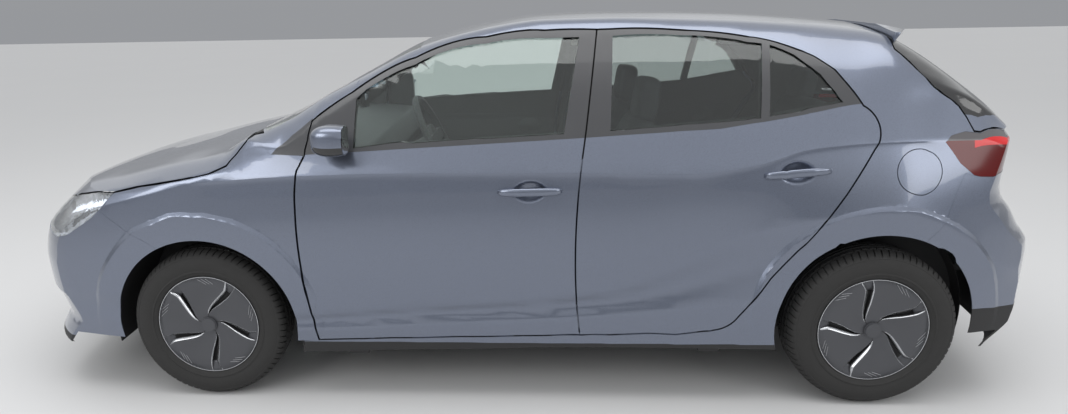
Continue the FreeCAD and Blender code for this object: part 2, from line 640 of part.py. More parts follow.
def rear_panels():
    shell = wall(QUARTER, LAST, size("bumper_thickness"))
    lower = box(R + 330, TAIL + 60, -TAILGATE_HALF_WIDTH, TAILGATE_HALF_WIDTH, TAILGATE_FOOT, TAILGATE_TOP + 12)
    lower_gap = box(R + 330, TAIL + 60, -TAILGATE_HALF_WIDTH - GAP, TAILGATE_HALF_WIDTH + GAP,
                    TAILGATE_FOOT - GAP, TAILGATE_TOP + 50)
    tailgate_space = side_prism(TAILGATE, GAP, -FAR, FAR)
    bumper = shell.common(side_prism(REAR_BUMPER, -FIT, -FAR, FAR)).cut(lower_gap).cut(tailgate_space)
    lamp_space = side_prism(TAIL_LAMP, FIT)
    bumper = bumper.cut(ARCHES).cut(mirrored(ARCHES)).cut(lamp_space).cut(mirrored(lamp_space))
    keep("rear_bumper", largest(bumper))

    lamp = wall(QUARTER, LAST, size("lamp_depth"), 1.0).common(side_prism(TAIL_LAMP, -FIT))
    outer_lamp = lamp.cut(box(R, TAIL + 60, -TAILGATE_HALF_WIDTH - GAP, 0, 800, 1100)).cut(tailgate_space)
    keep("tail_lamps", both_sides(largest(outer_lamp)))

    door = wall(QUARTER, LAST, size("tailgate_thickness"))
    upper = side_prism(TAILGATE, -GAP, -FAR, FAR)
    lamp_room = side_prism(TAIL_LAMP, 0, -TAILGATE_HALF_WIDTH - 5, -430)
    door = door.common(upper.fuse(lower))
    half_span = size("tailgate_hinge_half_span")
    arm_y = (-half_span - size("hinge_plate_width") / 2, -half_span + size("hinge_plate_width") / 2)
    x, z = TAILGATE_PIVOT
    curl = eye(TAILGATE_PIVOT, 60, *arm_y).cut(eye(TAILGATE_PIVOT, 47, arm_y[0] - 1, arm_y[1] + 1))
    curl = curl.common(box(x, x + 100, arm_y[0], arm_y[1], z - 100, z - 6))
    spoke = box(x - 7, x + 7, arm_y[0], arm_y[1], z - 58, z)
    arm = curl.fuse([spoke, eye(TAILGATE_PIVOT, 9, *arm_y)])
    door = door.fuse([arm, mirrored(arm)])
    glass_edge = [(-500, 1352), (500, 1352), (575, 1130), (-575, 1130)]
    opening = Part.Face(Part.makePolygon([Vector(R, y, z) for y, z in glass_edge + glass_edge[:1]]))
    opening = opening.extrude(Vector(FAR, 0, 0))
    shrunk = [(-499, 1351), (499, 1351), (574, 1131), (-574, 1131)]
    pane = Part.Face(Part.makePolygon([Vector(R, y, z) for y, z in shrunk + shrunk[:1]]))
    pane = pane.extrude(Vector(FAR, 0, 0))
    keep("tailgate", largest(door.cut(opening).cut(lamp_room).cut(mirrored(lamp_room))))
    keep("tailgate_glass", largest(wall(QUARTER, LAST, size("glass_thickness"), 2.0).common(pane)))
    gate_lamp = wall(QUARTER, LAST, size("tailgate_thickness") - 2, 1.0)
    gate_lamp = gate_lamp.common(side_prism(TAIL_LAMP, -0.3, -TAILGATE_HALF_WIDTH, -430.3))
    keep("tailgate_lamps", both_sides(largest(gate_lamp)))

    spans = ((0, 1437, 228, 1393, 20), (420, 1426, 172, 1396, 18), (600, 1392, 78, 1390, 14))
    wires = []
    for sign, order in ((-1, spans[:0:-1]), (1, spans)):
        for y, front_z, reach, tip_z, tip in order:
            corners = [(R + 20, front_z), (R + reach, tip_z), (R + reach - 6, tip_z - tip), (R + 20, 1300)]
            corners = [Vector(x, sign * y, z) for x, z in corners]
            wires.append(Part.makePolygon(corners + corners[:1]))
    spoiler = solid_of(Part.makeLoft(wires, True, True)).cut(body(QUARTER, LAST))
    keep("tailgate_spoiler", largest(spoiler.cut(box(R - 50, R + 58, -700, 700, 1200, 1500))))


def doors():
    flange = size("door_flange_width")
    specs = (
        ("front", FRONT_DOOR, (FRONT_WINDOW,), 7, 15),
        ("rear", REAR_DOOR, (REAR_WINDOW, QUARTER_WINDOW), 11, 20),
    )
    for place, outline, windows, first, last in specs:
        outer = body(first, last)
        thin = wall(first, last, size("door_seat_depth") - 8).common(side_prism(outline, -GAP))
        depth = size("door_thickness")
        thick = outer.cut(body(first, last, depth, size("window_frame_depth"), 30))
        thick = thick.common(side_prism(outline, -flange))
        panel = thin.fuse(thick)
        recess = size("glass_recess")
        panes = wall(first, last, size("glass_thickness"), recess)
        glass = []
        for window in windows:
            panel = panel.cut(side_prism(window))
            glass.append(largest(panes.common(side_prism(window, -0.3))))
        x, y, sill_top, heights = HINGES[place]
        for z in heights:
            panel = panel.cut(Part.makeCylinder(size("door_hinge_radius") + 1, 42, Vector(x, y, z - 36)))
            panel = panel.cut(box(x - 12, x + 41, y - 6, y + 61, z - 36, z + 6))
        panel = largest(panel.fuse(hinge_knuckles(x, y, heights, False)))
        pane = glass[0] if len(glass) == 1 else Part.makeCompound(glass)
        keep("door_%s_left" % place, panel)
        keep("door_%s_right" % place, mirrored(panel))
        keep("glass_%s_left" % place, pane)
        keep("glass_%s_right" % place, mirrored(pane))


# Axle places as expressions on the sheet, for the primitives below.
BACK_SHIFT = "(Sizes.front_overhang - Sizes.rear_overhang) * 0.5"
FX = BACK_SHIFT + " - Sizes.wheelbase * 0.5"
RX = BACK_SHIFT + " + Sizes.wheelbase * 0.5"
WHEEL_FACE = "(Sizes.wheel_centre_half_track - Sizes.rim_width * 0.5)"
HUB_END = "(Sizes.rim_width - 41)"


def bound(kind, label, place, turn=None, **sizes):
    """Primitive whose sizes and place follow the sheet; a turn is an axis and an angle."""
    piece = doc.addObject(kind, label)
    if turn:
        piece.Placement = Placement(Vector(0, 0, 0), Rotation(Vector(*turn[0]), turn[1]))
    for name, expression in sizes.items():
        piece.setExpression(name, expression)
    for axis, expression in zip("xyz", place):
        piece.setExpression("Placement.Base." + axis, expression)
    return piece


def block(label, place, length, width, height, lean=0):
    """Box; a lean turns it back about its lower front edge, in degrees."""
    turn = ((0, 1, 0), lean) if lean else None
    return bound("Part::Box", label, place, turn, Length=length, Width=width, Height=height)


def drum(label, place, radius, height, axis="Z"):
    """Cylinder that starts at its place and runs along the axis; -Y runs to the car's left."""
    turns = {"Z": None, "Y": ((1, 0, 0), -90), "-Y": ((1, 0, 0), 90), "X": ((0, 1, 0), 90)}
    return bound("Part::Cylinder", label, place, turns[axis], Radius=radius, Height=height)


def joined(label, pieces):
    fuse = doc.addObject("Part::MultiFuse", label)
    fuse.Shapes = pieces
    return fuse


def reflected(label, source):
    """The same piece on the car's other side."""
    mirror = doc.addObject("Part::Mirroring", label)
    mirror.Source = source
    mirror.Normal = (0, 1, 0)
    return mirror


def pair(label, left):
    """Two like pieces, left and right, that share one node."""
    both = doc.addObject("Part::Compound", label)
    both.Links = [left, reflected(label + "_mirror", left)]
    return both


def eased(label, source, width):
    """The piece with every edge chamfered."""
    doc.recompute()
    chamfer = doc.addObject("Part::Chamfer", label)
    chamfer.Base = source
    chamfer.Edges = [(index + 1, width, width) for index in range(len(source.Shape.Edges))]
    return chamfer


def turned_body(label, corners, slots=None):
    """Ring turned about its own Z axis; corners are (radius, distance from the inner face) expressions."""
    body_object = doc.addObject("PartDesign::Body", label)
    planes = {plane.Role: plane for plane in body_object.Origin.OriginFeatures}
    sketch = body_object.newObject("Sketcher::SketchObject", label + "_profile")
    sketch.AttachmentSupport = [(planes["XZ_Plane"], "")]
    sketch.MapMode = "FlatFace"
    values = [(float(doc_value(r)), float(doc_value(z))) for r, z in corners]
    count = len(values)
    for index in range(count):
        start = Vector(values[index][0], values[index][1], 0)
        end = Vector(values[(index + 1) % count][0], values[(index + 1) % count][1], 0)
        sketch.addGeometry(Part.LineSegment(start, end))
    for index in range(count):
        sketch.addConstraint(Sketcher.Constraint("Coincident", index, 2, (index + 1) % count, 1))
    for index, (radius, distance) in enumerate(corners):
        for kind, expression, value in (("DistanceX", radius, values[index][0]),
                                        ("DistanceY", distance, values[index][1])):
            number = sketch.addConstraint(Sketcher.Constraint(kind, -1, 1, index, 1, value))
            sketch.setExpression("Constraints[%d]" % number, expression)
    turn = body_object.newObject("PartDesign::Revolution", label + "_turn")
    turn.Profile = sketch
    turn.ReferenceAxis = (sketch, ["V_Axis"])
    turn.Angle = 360.0
    body_object.Tip = turn
    if slots:
        cut_slots(body_object, label, planes, slots)
    return body_object


def doc_value(expression):
    """Present value of an expression written with the sheet's names."""
    total = 0.0
    for term in expression.replace("- ", "+ -").split("+ "):
        term = term.strip()
        sign = -1.0 if term.startswith("-") else 1.0
        factor = 1.0
        for item in term.lstrip("-").split(" * "):
            item = item.strip()
            factor *= size(item[6:]) if item.startswith("Sizes.") else float(item)
        total += sign * factor
    return total


def cut_slots(body_object, label, planes, slots):
    """Slots cut through the wheel cover and repeated evenly round it."""
    sketch = body_object.newObject("Sketcher::SketchObject", label + "_slot")
    sketch.AttachmentSupport = [(planes["XY_Plane"], "")]
    sketch.MapMode = "FlatFace"
    count = len(slots)
    for index in range(count):
        start = Vector(slots[index][0], slots[index][1], 0)
        end = Vector(slots[(index + 1) % count][0], slots[(index + 1) % count][1], 0)
        sketch.addGeometry(Part.LineSegment(start, end))
    for index in range(count):
        sketch.addConstraint(Sketcher.Constraint("Coincident", index, 2, (index + 1) % count, 1))
    pocket = body_object.newObject("PartDesign::Pocket", label + "_pocket")
    pocket.Profile = sketch
    pocket.Type = 1
    pocket.Midplane = True
    pattern = body_object.newObject("PartDesign::PolarPattern", label + "_slots")
    pattern.Originals = [pocket]
    axis = [line for line in body_object.Origin.OriginFeatures if line.Role == "Z_Axis"][0]
    pattern.Axis = (axis, [""])
    pattern.Angle = 360.0
    pattern.Occurrences = SPOKES
    body_object.Tip = pattern


# Wheels. Profiles run from the inner face outward; a slot's corners are (radius, angle) on the cover.
SPOKES = 5
TYRE_PROFILE = (
    ("Sizes.tyre_bead_radius", "Sizes.tyre_width * 0.5 - 84"),
    ("Sizes.tyre_bead_radius + 46", "0"),
    ("Sizes.tyre_radius - 20", "6"),
    ("Sizes.tyre_radius", "38"),
    ("Sizes.tyre_radius", "Sizes.tyre_width - 38"),
    ("Sizes.tyre_radius - 20", "Sizes.tyre_width - 6"),
    ("Sizes.tyre_bead_radius + 46", "Sizes.tyre_width"),
    ("Sizes.tyre_bead_radius", "Sizes.tyre_width * 0.5 + 84"),
)
WHEEL_PROFILE = (
    ("Sizes.hub_radius + Sizes.fit_clearance", "60"),
    ("Sizes.disc_radius", "60"),
    ("Sizes.disc_radius", "82"),
    ("70", "82"),
    ("70", "Sizes.rim_width - 26"),
    ("Sizes.tyre_bead_radius - 14", "Sizes.rim_width - 20"),
    ("Sizes.tyre_bead_radius - 14", "0"),
    ("Sizes.tyre_bead_radius - 0.5", "0"),
    ("Sizes.tyre_bead_radius - 0.5", "Sizes.rim_width"),
    ("Sizes.tyre_bead_radius - 24", "Sizes.rim_width + 4"),
    ("28", "Sizes.rim_width - 6"),
    ("0", "Sizes.rim_width - 4"),
    ("0", "Sizes.rim_width - 40"),
    ("Sizes.hub_radius + Sizes.fit_clearance", "Sizes.rim_width - 40"),
)
SLOT_CORNERS = ((62, 30), (112, 23), (150, 12), (178, 7), (181, -9), (168, -10), (128, 6), (88, 14))
WHEELS = (
    ("front_left", F, -1),
    ("front_right", F, 1),
    ("rear_left", R, -1),
    ("rear_right", R, 1),
)


def wheels():
    slot = [(r * math.cos(math.radians(a)), r * math.sin(math.radians(a))) for r, a in SLOT_CORNERS]
    for place, axle_x, side in WHEELS:
        for name, profile, slots, width in (
            ("tyre_" + place, TYRE_PROFILE, None, size("tyre_width")),
            ("wheel_" + place, WHEEL_PROFILE, slot, size("rim_width")),
        ):
            piece = turned_body(name, profile, slots)
            inner = size("wheel_centre_half_track") - width / 2
            turn = Rotation(Vector(1, 0, 0), 90 if side < 0 else -90)
            piece.Placement = Placement(Vector(axle_x, side * inner, WHEEL_HEIGHT), turn)
            PARTS.append(piece)


def rod(start, end, radius):
    start, end = Vector(*start), Vector(*end)
    return Part.makeCylinder(radius, (end - start).Length, start, end - start)


def steering_point(height):
    """Point of the left steering axis at a height."""
    low = Vector(F, -size("ball_joint_half_track"), size("ball_joint_height"))
    high = Vector(F, -size("strut_top_half_track"), size("strut_top_height"))
    return low + (high - low) * ((height - low.z) / (high.z - low.z))


def knuckles():
    """Front uprights: spindle, hub carrier, arm down to the ball joint and strut tube above."""
    face = "-(" + WHEEL_FACE
    spindle = drum("spindle", (FX, face + " - 6)", "Sizes.tyre_radius"), "Sizes.hub_radius", HUB_END + " + 6", "-Y")
    carrier = drum("hub_carrier", (FX, face + " - 14)", "Sizes.tyre_radius"), "56", "66", "-Y")
    stem = block("knuckle_stem", (FX + " - 24", face + " + 30)", "Sizes.tyre_radius - 96"), "48", "44", "96")
    reach = block("knuckle_reach", (FX + " - 26", face + ")", "Sizes.tyre_radius"), "52", "72", "60")
    post = block("knuckle_post", (FX + " - 26", face + " - 34)", "Sizes.tyre_radius + 20"), "52", "38", "110")
    base = steering_point(size("ball_joint_height"))
    top = steering_point(size("strut_split_height"))
    along_axis = (top - base) * (1 / (top - base).Length)
    ball = keep_hidden("knuckle_ball", rod(base + along_axis * FIT, base + along_axis * 62, size("ball_joint_radius")))
    radius = size("strut_radius")
    foot = Vector(F, top.y - 8, WHEEL_HEIGHT + 120)
    tube = rod(foot, top - along_axis * 12, radius).fuse(rod(top - along_axis * 26, top, radius + 3))
    tube = keep_hidden("strut_tube", tube)
    left = joined("knuckle_left", [spindle, carrier, stem, reach, post, ball, tube])
    PARTS.append(left)
    PARTS.append(reflected("knuckle_right", left))


def keep_hidden(label, shape):
    """Store a form that is only an ingredient of another piece."""
    piece = doc.addObject("Part::Feature", label)
    piece.Shape = shape
    return piece


def running_gear():
    """Subframe with lower arms and struts in front, twist beam with trailing arms and stub axles behind."""
    base = steering_point(size("ball_joint_height"))
    top = steering_point(size("strut_split_height"))
    along_axis = (top - base) * (1 / (top - base).Length)
    ball_end = tuple(base - along_axis * 24)
    arm = rod((F + 30, -376, 205), ball_end, 13).fuse(rod((F + 230, -372, 205), ball_end, 12))
    arm = arm.fuse(rod(base - along_axis * 38, base, size("ball_joint_radius")))
    arm_left = keep_hidden("lower_arm_left", arm)
    frame = block("subframe_plate", (FX + " - 20", "-380", "190"), "280", "760", "40")
    mounts = block("engine_mounts", (FX, "-220", "229"), "44", "440", "71 - Sizes.fit_clearance")
    subframe = joined("front_subframe", [frame, mounts, arm_left, reflected("lower_arm_right", arm_left)])
    PARTS.append(subframe)

    strut_top = steering_point(size("strut_top_height"))
    spring = rod(top + along_axis * 24, strut_top - along_axis * 40, size("spring_radius"))
    shaft = rod(top + along_axis * FIT, strut_top - along_axis * 20, 14)
    plate = Part.makeCylinder(62, 20, strut_top - Vector(0, 0, 20 + FIT))
    keep("front_struts", both_sides(spring.fuse([shaft, plate])))

    beam = drum("beam_tube", (RX + " - 270", "-560", "300"), "Sizes.axle_beam_radius", "1120", "Y")
    arm = block("trailing_arm", (RX + " - 450", "-600", "264"), "510", "52", "76")
    carrier = drum("stub_carrier", (RX, "-548", "Sizes.tyre_radius"), "52", WHEEL_FACE + " - 498", "-Y")
    stub = drum("stub_axle", (RX, "-600", "Sizes.tyre_radius"), "Sizes.hub_radius",
                WHEEL_FACE + " + " + HUB_END + " - 600", "-Y")
    pad = block("spring_pad", (RX + " - 115", "-600", "264"), "110", "130", "36")
    spring = drum("rear_spring", (RX + " - 60", "-525", "299"), "48", "Sizes.boot_floor_height - 299 - Sizes.fit_clearance")
    side = joined("rear_suspension_left", [arm, carrier, stub, pad, spring])
    PARTS.append(joined("rear_axle_beam", [beam, side, reflected("rear_suspension_right", side)]))

    engine = block("engine_form", (FX + " - 300", "-330", "300"), "360", "660", "550")
    PARTS.append(eased("engine_block", engine, 24))
    tank = block("tank_form", (RX + " - 590", "-480", "Sizes.rear_floor_height - 171"), "250", "400",
                 "171 - Sizes.fit_clearance")
    PARTS.append(eased("fuel_tank", tank, 28))

    radius = size("exhaust_pipe_radius")
    route = [(F + 275, 0, 222), (R - 560, 0, 222), (R - 420, 180, 222), (R + 170, 180, 222), (R + 250, 150, 300)]
    pipe = rod(route[0], route[1], radius)
    for start, end in zip(route[1:], route[2:]):
        pipe = pipe.fuse(rod(start, end, radius))
    muffler = Part.makeCylinder(88, 420, Vector(R + 300, -210, 320), Vector(0, 1, 0))
    hanger = box(R + 292, R + 308, -8, 8, 400, size("boot_floor_height") - FIT)
    hook = box(F + 340, F + 356, -6, 6, 236, size("floor_height") + 94 - FIT)
    keep("exhaust", pipe.fuse([muffler, hanger, hook]))


def front_structure():
    """Rails, strut towers and bumper beam that carry the front end; the tow socket opens forward."""
    rail = box(NOSE + 130, F + 300 - FIT, -450, -390, 400, 500)
    top_height = size("strut_top_height")
    leg = box(F - 90, F + 90, -485, -420, 480, top_height + 15)
    top = box(F - 90, F + 90, -690, -420, top_height, top_height + 15)
    side = rail.fuse([leg, top])
    beam = box(NOSE + 95, NOSE + 135, -560, 560, 430, 545)
    boss = rod((NOSE + 60, 330, 480), (NOSE + 130, 330, 480), 18)
    structure = beam.fuse([side, mirrored(side), boss])
    socket = rod((NOSE + 59, 330, 480), (NOSE + 120, 330, 480), size("tow_socket_radius"))
    keep("front_structure", structure.cut(socket))


def wheelhouse(axle_x, inner_y, height):
    """Half-round liner over a wheel, closed by a wall on the inboard side."""
    thickness = size("liner_thickness")
    radius = size("liner_radius")
    outer = arch_cylinder(axle_x, radius + thickness, -FAR, -inner_y, height)
    hollow = arch_cylinder(axle_x, radius, -FAR, -inner_y - thickness, height)
    return outer.cut(hollow).cut(box(axle_x - 600, axle_x + 600, -FAR, 0, -600, 228))


def liners():
    skin = size("bumper_thickness") + FIT
    lining = body(0, 9, skin, skin, skin)
    front = wheelhouse(F, size("front_liner_wall"), FRONT_ARCH_HEIGHT).common(lining)
    front = front.cut(rod(tuple(steering_point(560)), tuple(steering_point(845)), size("spring_radius") + 6))
    keep("front_arch_liners", both_sides(largest(front)))
    deep = size("side_wall_thickness") + FIT
    rear = wheelhouse(R, size("rear_liner_wall"), REAR_ARCH_HEIGHT).common(body(15, LAST, deep, deep, 31.0))
    rear = rear.cut(box(R - 76, R + 76, -700, -600, 200, 400))
    keep("rear_arch_liners", both_sides(largest(rear)))


def cushion(label, place, length, width, height, edge, lean=0):
    return eased(label, block(label + "_form", place, length, width, height, lean), edge)


def cabin():
    """Floor, bulkhead, instrument panel, steering wheel and seats."""
    deep = size("side_wall_thickness") + FIT
    cavity = body(5, LAST, deep, size("pillar_depth") + FIT, 31.0)
    beyond = size("liner_radius") + size("liner_thickness") + FIT
    front_house = arch_cylinder(F, beyond, -FAR, -size("front_liner_wall") + FIT, FRONT_ARCH_HEIGHT)
    rear_house = arch_cylinder(R, beyond, -FAR, -size("rear_liner_wall") + FIT, REAR_ARCH_HEIGHT)
    houses = front_house.fuse([mirrored(front_house), rear_house, mirrored(rear_house)])
    floor_z, thick = size("floor_height"), size("floor_thickness")
    rear_z, boot_z = size("rear_floor_height"), size("boot_floor_height")
    side = size("tunnel_half_width")
    heel, riser, wall_x = R - 620, R - 134, TAIL - 215
    plates = [
        box(F + 300, F + 300 + thick, -FAR, FAR, floor_z, 1000),
        box(F + 300, heel + thick, -side, side, floor_z, floor_z + 118),
        box(heel, heel + thick, -FAR, FAR, floor_z, rear_z + thick),
        box(heel, riser + thick, -FAR, FAR, rear_z, rear_z + thick),
        box(riser, riser + thick, -FAR, FAR, rear_z, boot_z + thick),
        box(riser, wall_x + thick, -FAR, FAR, boot_z, boot_z + thick),
        box(wall_x, wall_x + thick, -640, 640, boot_z, 725),
    ]
    floor = box(F + 300, heel + thick, -FAR, FAR, floor_z, floor_z + thick).fuse(plates)
    floor = floor.cut(box(F + 200, R - 500, thick - side, side - thick, 0, floor_z + 94))
    floor = floor.cut(houses).common(cavity)
    behind_bumper = size("bumper_thickness") + FIT
    sill = box(wall_x, TAIL + 60, -590, 590, 703, 725)
    sill = sill.common(body(QUARTER, LAST, behind_bumper, behind_bumper, behind_bumper))
    hangers = [box(R - 445, R - 395, y, y + 12, 264, rear_z + 4) for y in (-548 + FIT, 536 - FIT)]
    keep("floor_pan", largest(floor.fuse([sill] + hangers)))

    dash = [
        (F + 324 + FIT, 760), (F + 324 + FIT, 996), (F + 420, 1004), (F + 640, 985), (F + 700, 900), (F + 640, 790),
    ]
    keep("instrument_panel", largest(side_prism(dash, 0, -700, 700).common(cavity)))
    console = ("-95", "Sizes.floor_height + 118 + Sizes.fit_clearance")
    PARTS.append(cushion("centre_console", (FX + " + 560",) + console, "790", "190", "150", 18))

    corners = [(15 * math.cos(math.radians(a)), 15 * math.sin(math.radians(a))) for a in range(0, 361, 60)]
    profile = Part.makePolygon([Vector(size("steering_wheel_radius") + u, 0, w) for u, w in corners])
    rim = Part.Face(profile).revolve(Vector(0, 0, 0), Vector(0, 0, 1), 360)
    spokes = box(-180, 180, -22, 22, -12, 6).fuse(box(-22, 22, -180, 0, -12, 6))
    wheel = rim.fuse([spokes, Part.makeCylinder(62, 44, Vector(0, 0, -40))])
    wheel = wheel.fuse(Part.makeCylinder(26, 240, Vector(0, 0, -275)))
    wheel.rotate(Vector(0, 0, 0), Vector(0, 0, 1), 90)
    wheel.rotate(Vector(0, 0, 0), Vector(0, 1, 0), 64)
    wheel.translate(Vector(F + 880, -size("seat_half_spacing"), 975))
    keep("steering_wheel", wheel.cut(side_prism(dash, FIT, -700, 700)))

    middle = "Sizes.seat_half_spacing"
    top = "Sizes.seat_height"
    base = cushion("seat_base", (FX + " + 1060", "-" + middle + " - Sizes.seat_width * 0.5", top + " - 200"),
                   "520", "Sizes.seat_width", "200", 50)
    rest = cushion("seat_rest", (FX + " + 1500", "-" + middle + " - 240", top + " - 60"),
                   "120", "480", "620", 46, 18)
    head = cushion("seat_head", (FX + " + 1704", "-" + middle + " - 130", top + " + 500"),
                   "90", "260", "180", 36, 8)
    rail = block("seat_rails", (FX + " + 1120", "-" + middle + " - 200", "Sizes.floor_height + 24 + Sizes.fit_clearance"),
                 "400", "400", top + " - 380")
    PARTS.append(pair("front_seats", joined("front_seat_left", [base, rest, head, rail])))
    bench = cushion("bench_form", (RX + " - 596", "-600", "Sizes.rear_floor_height + 24 + Sizes.fit_clearance"),
                    "452", "1200", "165", 46)
    back = cushion("bench_rest", (RX + " - 150", "-590", "Sizes.boot_floor_height + 60"),
                   "120", "1180", "540", 44, 16)
    left_head = cushion("bench_head_left", (RX + " + 16", "-460", "Sizes.boot_floor_height + 530"),
                        "80", "240", "160", 34)
    right_head = reflected("bench_head_right", left_head)
    link = block("bench_link", (RX + " - 190", "-540", "Sizes.boot_floor_height + 24 + Sizes.fit_clearance"),
                 "110", "1080", "62")
    PARTS.append(joined("rear_seat", [bench, back, left_head, right_head, link]))


def mirrors():
    """Door mirrors on a short foot at the front corner of the side window."""
    reach = size("mirror_half_reach")
    wires = []
    for y, x0, x1, z0, z1 in ((-858, 545, 622, 1022, 1092), (-900, 500, 630, 1002, 1112),
                              (-reach + 25, 498, 626, 1000, 1114), (-reach, 520, 610, 1022, 1092)):
        corner = 22
        ring = [(x0 + corner, z0), (x1 - corner, z0), (x1, z0 + corner), (x1, z1 - corner),
                (x1 - corner, z1), (x0 + corner * 2, z1), (x0, z1 - corner * 2), (x0, z0 + corner)]
        wires.append([Vector(F + x, y, z) for x, z in ring])
    shell = faceted(wires)
    foot = box(F + 500, F + 590, -880, -800, 1016, 1046)
    mirror = shell.fuse(foot).cut(body(7, 12))
    mirror = largest(mirror)
    keep("mirror_left", mirror)
    keep("mirror_right", mirrored(mirror))


front_panels()
screen_and_roof()
side_frames()
rear_panels()
doors()
mirrors()
wheels()
knuckles()
running_gear()
front_structure()
liners()
cabin()
doc.recompute()
for piece in PARTS:
    if piece.Shape.isNull() or not piece.Shape.isValid() or "Invalid" in piece.State or "Error" in piece.State:
        raise RuntimeError("piece failed: " + piece.Label)
os.makedirs("parts", exist_ok=True)
for piece in PARTS:
    piece.Shape.exportStep("parts/" + piece.Label + ".step")
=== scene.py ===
import json
import math
import bmesh
import bpy
import numpy as np
from mathutils import Matrix, Vector
from mathutils.bvhtree import BVHTree


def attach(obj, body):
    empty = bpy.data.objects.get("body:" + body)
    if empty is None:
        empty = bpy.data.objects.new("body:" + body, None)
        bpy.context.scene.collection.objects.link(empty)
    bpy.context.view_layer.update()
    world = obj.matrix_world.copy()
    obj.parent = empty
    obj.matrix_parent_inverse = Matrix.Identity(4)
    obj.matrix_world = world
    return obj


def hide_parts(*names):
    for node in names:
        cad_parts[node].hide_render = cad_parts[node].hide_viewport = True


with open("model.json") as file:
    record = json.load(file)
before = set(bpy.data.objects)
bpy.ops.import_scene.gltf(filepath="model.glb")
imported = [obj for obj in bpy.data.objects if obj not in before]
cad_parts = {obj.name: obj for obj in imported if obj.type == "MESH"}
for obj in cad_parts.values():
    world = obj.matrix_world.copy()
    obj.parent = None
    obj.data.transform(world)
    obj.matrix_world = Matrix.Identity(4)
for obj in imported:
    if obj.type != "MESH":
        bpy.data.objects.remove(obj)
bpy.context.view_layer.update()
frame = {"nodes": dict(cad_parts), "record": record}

# Places along the car, in metres, as in the model: X to the rear, Y to the right, Z up.
FRONT_AXLE = -1.2185
REAR_AXLE = 1.3515
NOSE = -2.0565
TAIL = 2.0565
HALF_WIDTH = 0.898
WHEEL_HEIGHT = 0.3105
ANCHORS = {"nose": NOSE, "front": FRONT_AXLE, "rear": REAR_AXLE, "tail": TAIL}

# Body sections in millimetres: anchor, offset, sill height, then how far inside the half width and how
# high each line runs: lip, hollow, crease, shoulder, belt, cant rail, roof edge; last, the middle's height.
SECTIONS = (
    ("nose", -27, 200, 103, 330, 103, 390, 98, 440, 110, 640, 178, 676, 298, 700, 468, 716, 722),
    ("nose", 123, 200, 116, 330, 118, 395, 113, 440, 128, 690, 183, 745, 278, 775, 458, 800, 812),
    ("front", -565, 200, 83, 330, 86, 392, 78, 440, 86, 755, 130, 808, 248, 838, 448, 855, 865),
    ("front", -365, 200, 46, 320, 50, 380, 40, 430, 48, 800, 70, 847, 208, 880, 433, 900, 908),
    ("front", -165, 200, 30, 310, 34, 370, 22, 410, 26, 850, 40, 884, 178, 925, 418, 945, 952),
    ("front", 0, 198, 28, 300, 32, 350, 18, 390, 21, 889, 26, 912, 163, 958, 408, 978, 985),
    ("front", 95, 197, 26, 298, 30, 340, 16, 375, 22, 898, 30, 935, 153, 985, 398, 1000, 1006),
    ("front", 208, 197, 24, 298, 30, 336, 16, 370, 22, 906, 46, 965, 98, 1040, 248, 1058, 1068),
    ("front", 335, 199, 20, 300, 28, 336, 18, 366, 23, 913, 55, 993, 66, 1018, 183, 1100, 1134),
    ("front", 485, 203, 20, 306, 30, 342, 18, 370, 24, 918, 56, 994, 123, 1128, 218, 1187, 1210),
    ("front", 625, 209, 20, 314, 31, 352, 18, 382, 24, 923, 58, 1000, 169, 1219, 250, 1255, 1283),
    ("front", 845, 216, 20, 328, 33, 369, 18, 399, 22, 926, 63, 1011, 241, 1328, 306, 1360, 1390),
    ("front", 1113, 222, 20, 343, 34, 386, 18, 418, 22, 925, 67, 1026, 288, 1401, 335, 1428, 1451),
    ("front", 1335, 230, 20, 355, 35, 400, 18, 436, 21, 924, 73, 1037, 298, 1418, 344, 1455, 1480),
    ("rear", -985, 233, 20, 373, 36, 425, 17, 470, 21, 921, 80, 1049, 301, 1420, 347, 1457, 1486),
    ("rear", -735, 232, 20, 398, 38, 485, 16, 566, 21, 917, 87, 1061, 295, 1410, 348, 1449, 1484),
    ("rear", -485, 230, 22, 425, 36, 570, 14, 690, 32, 945, 101, 1086, 280, 1386, 348, 1437, 1476),
    ("rear", -285, 228, 24, 430, 32, 610, 12, 742, 58, 998, 116, 1114, 244, 1331, 346, 1422, 1463),
    ("rear", -99, 226, 26, 400, 28, 600, 9, 768, 67, 1015, 135, 1148, 218, 1290, 340, 1402, 1447),
    ("rear", 25, 226, 28, 380, 26, 600, 8, 776, 72, 1020, 141, 1150, 230, 1312, 332, 1382, 1434),
    ("rear", 165, 226, 36, 380, 34, 560, 18, 735, 84, 1022, 160, 1155, 193, 1222, 298, 1306, 1378),
    ("rear", 315, 226, 58, 390, 56, 520, 38, 640, 98, 1020, 156, 1110, 170, 1150, 298, 1204, 1282),
    ("rear", 435, 226, 84, 400, 82, 480, 66, 560, 120, 1000, 163, 1040, 183, 1062, 298, 1112, 1180),
    ("tail", -190, 226, 110, 400, 108, 470, 96, 540, 150, 960, 198, 990, 218, 1003, 298, 1010, 1085),
    ("tail", 20, 226, 190, 400, 190, 470, 190, 540, 200, 800, 240, 830, 260, 840, 298, 850, 870),
)
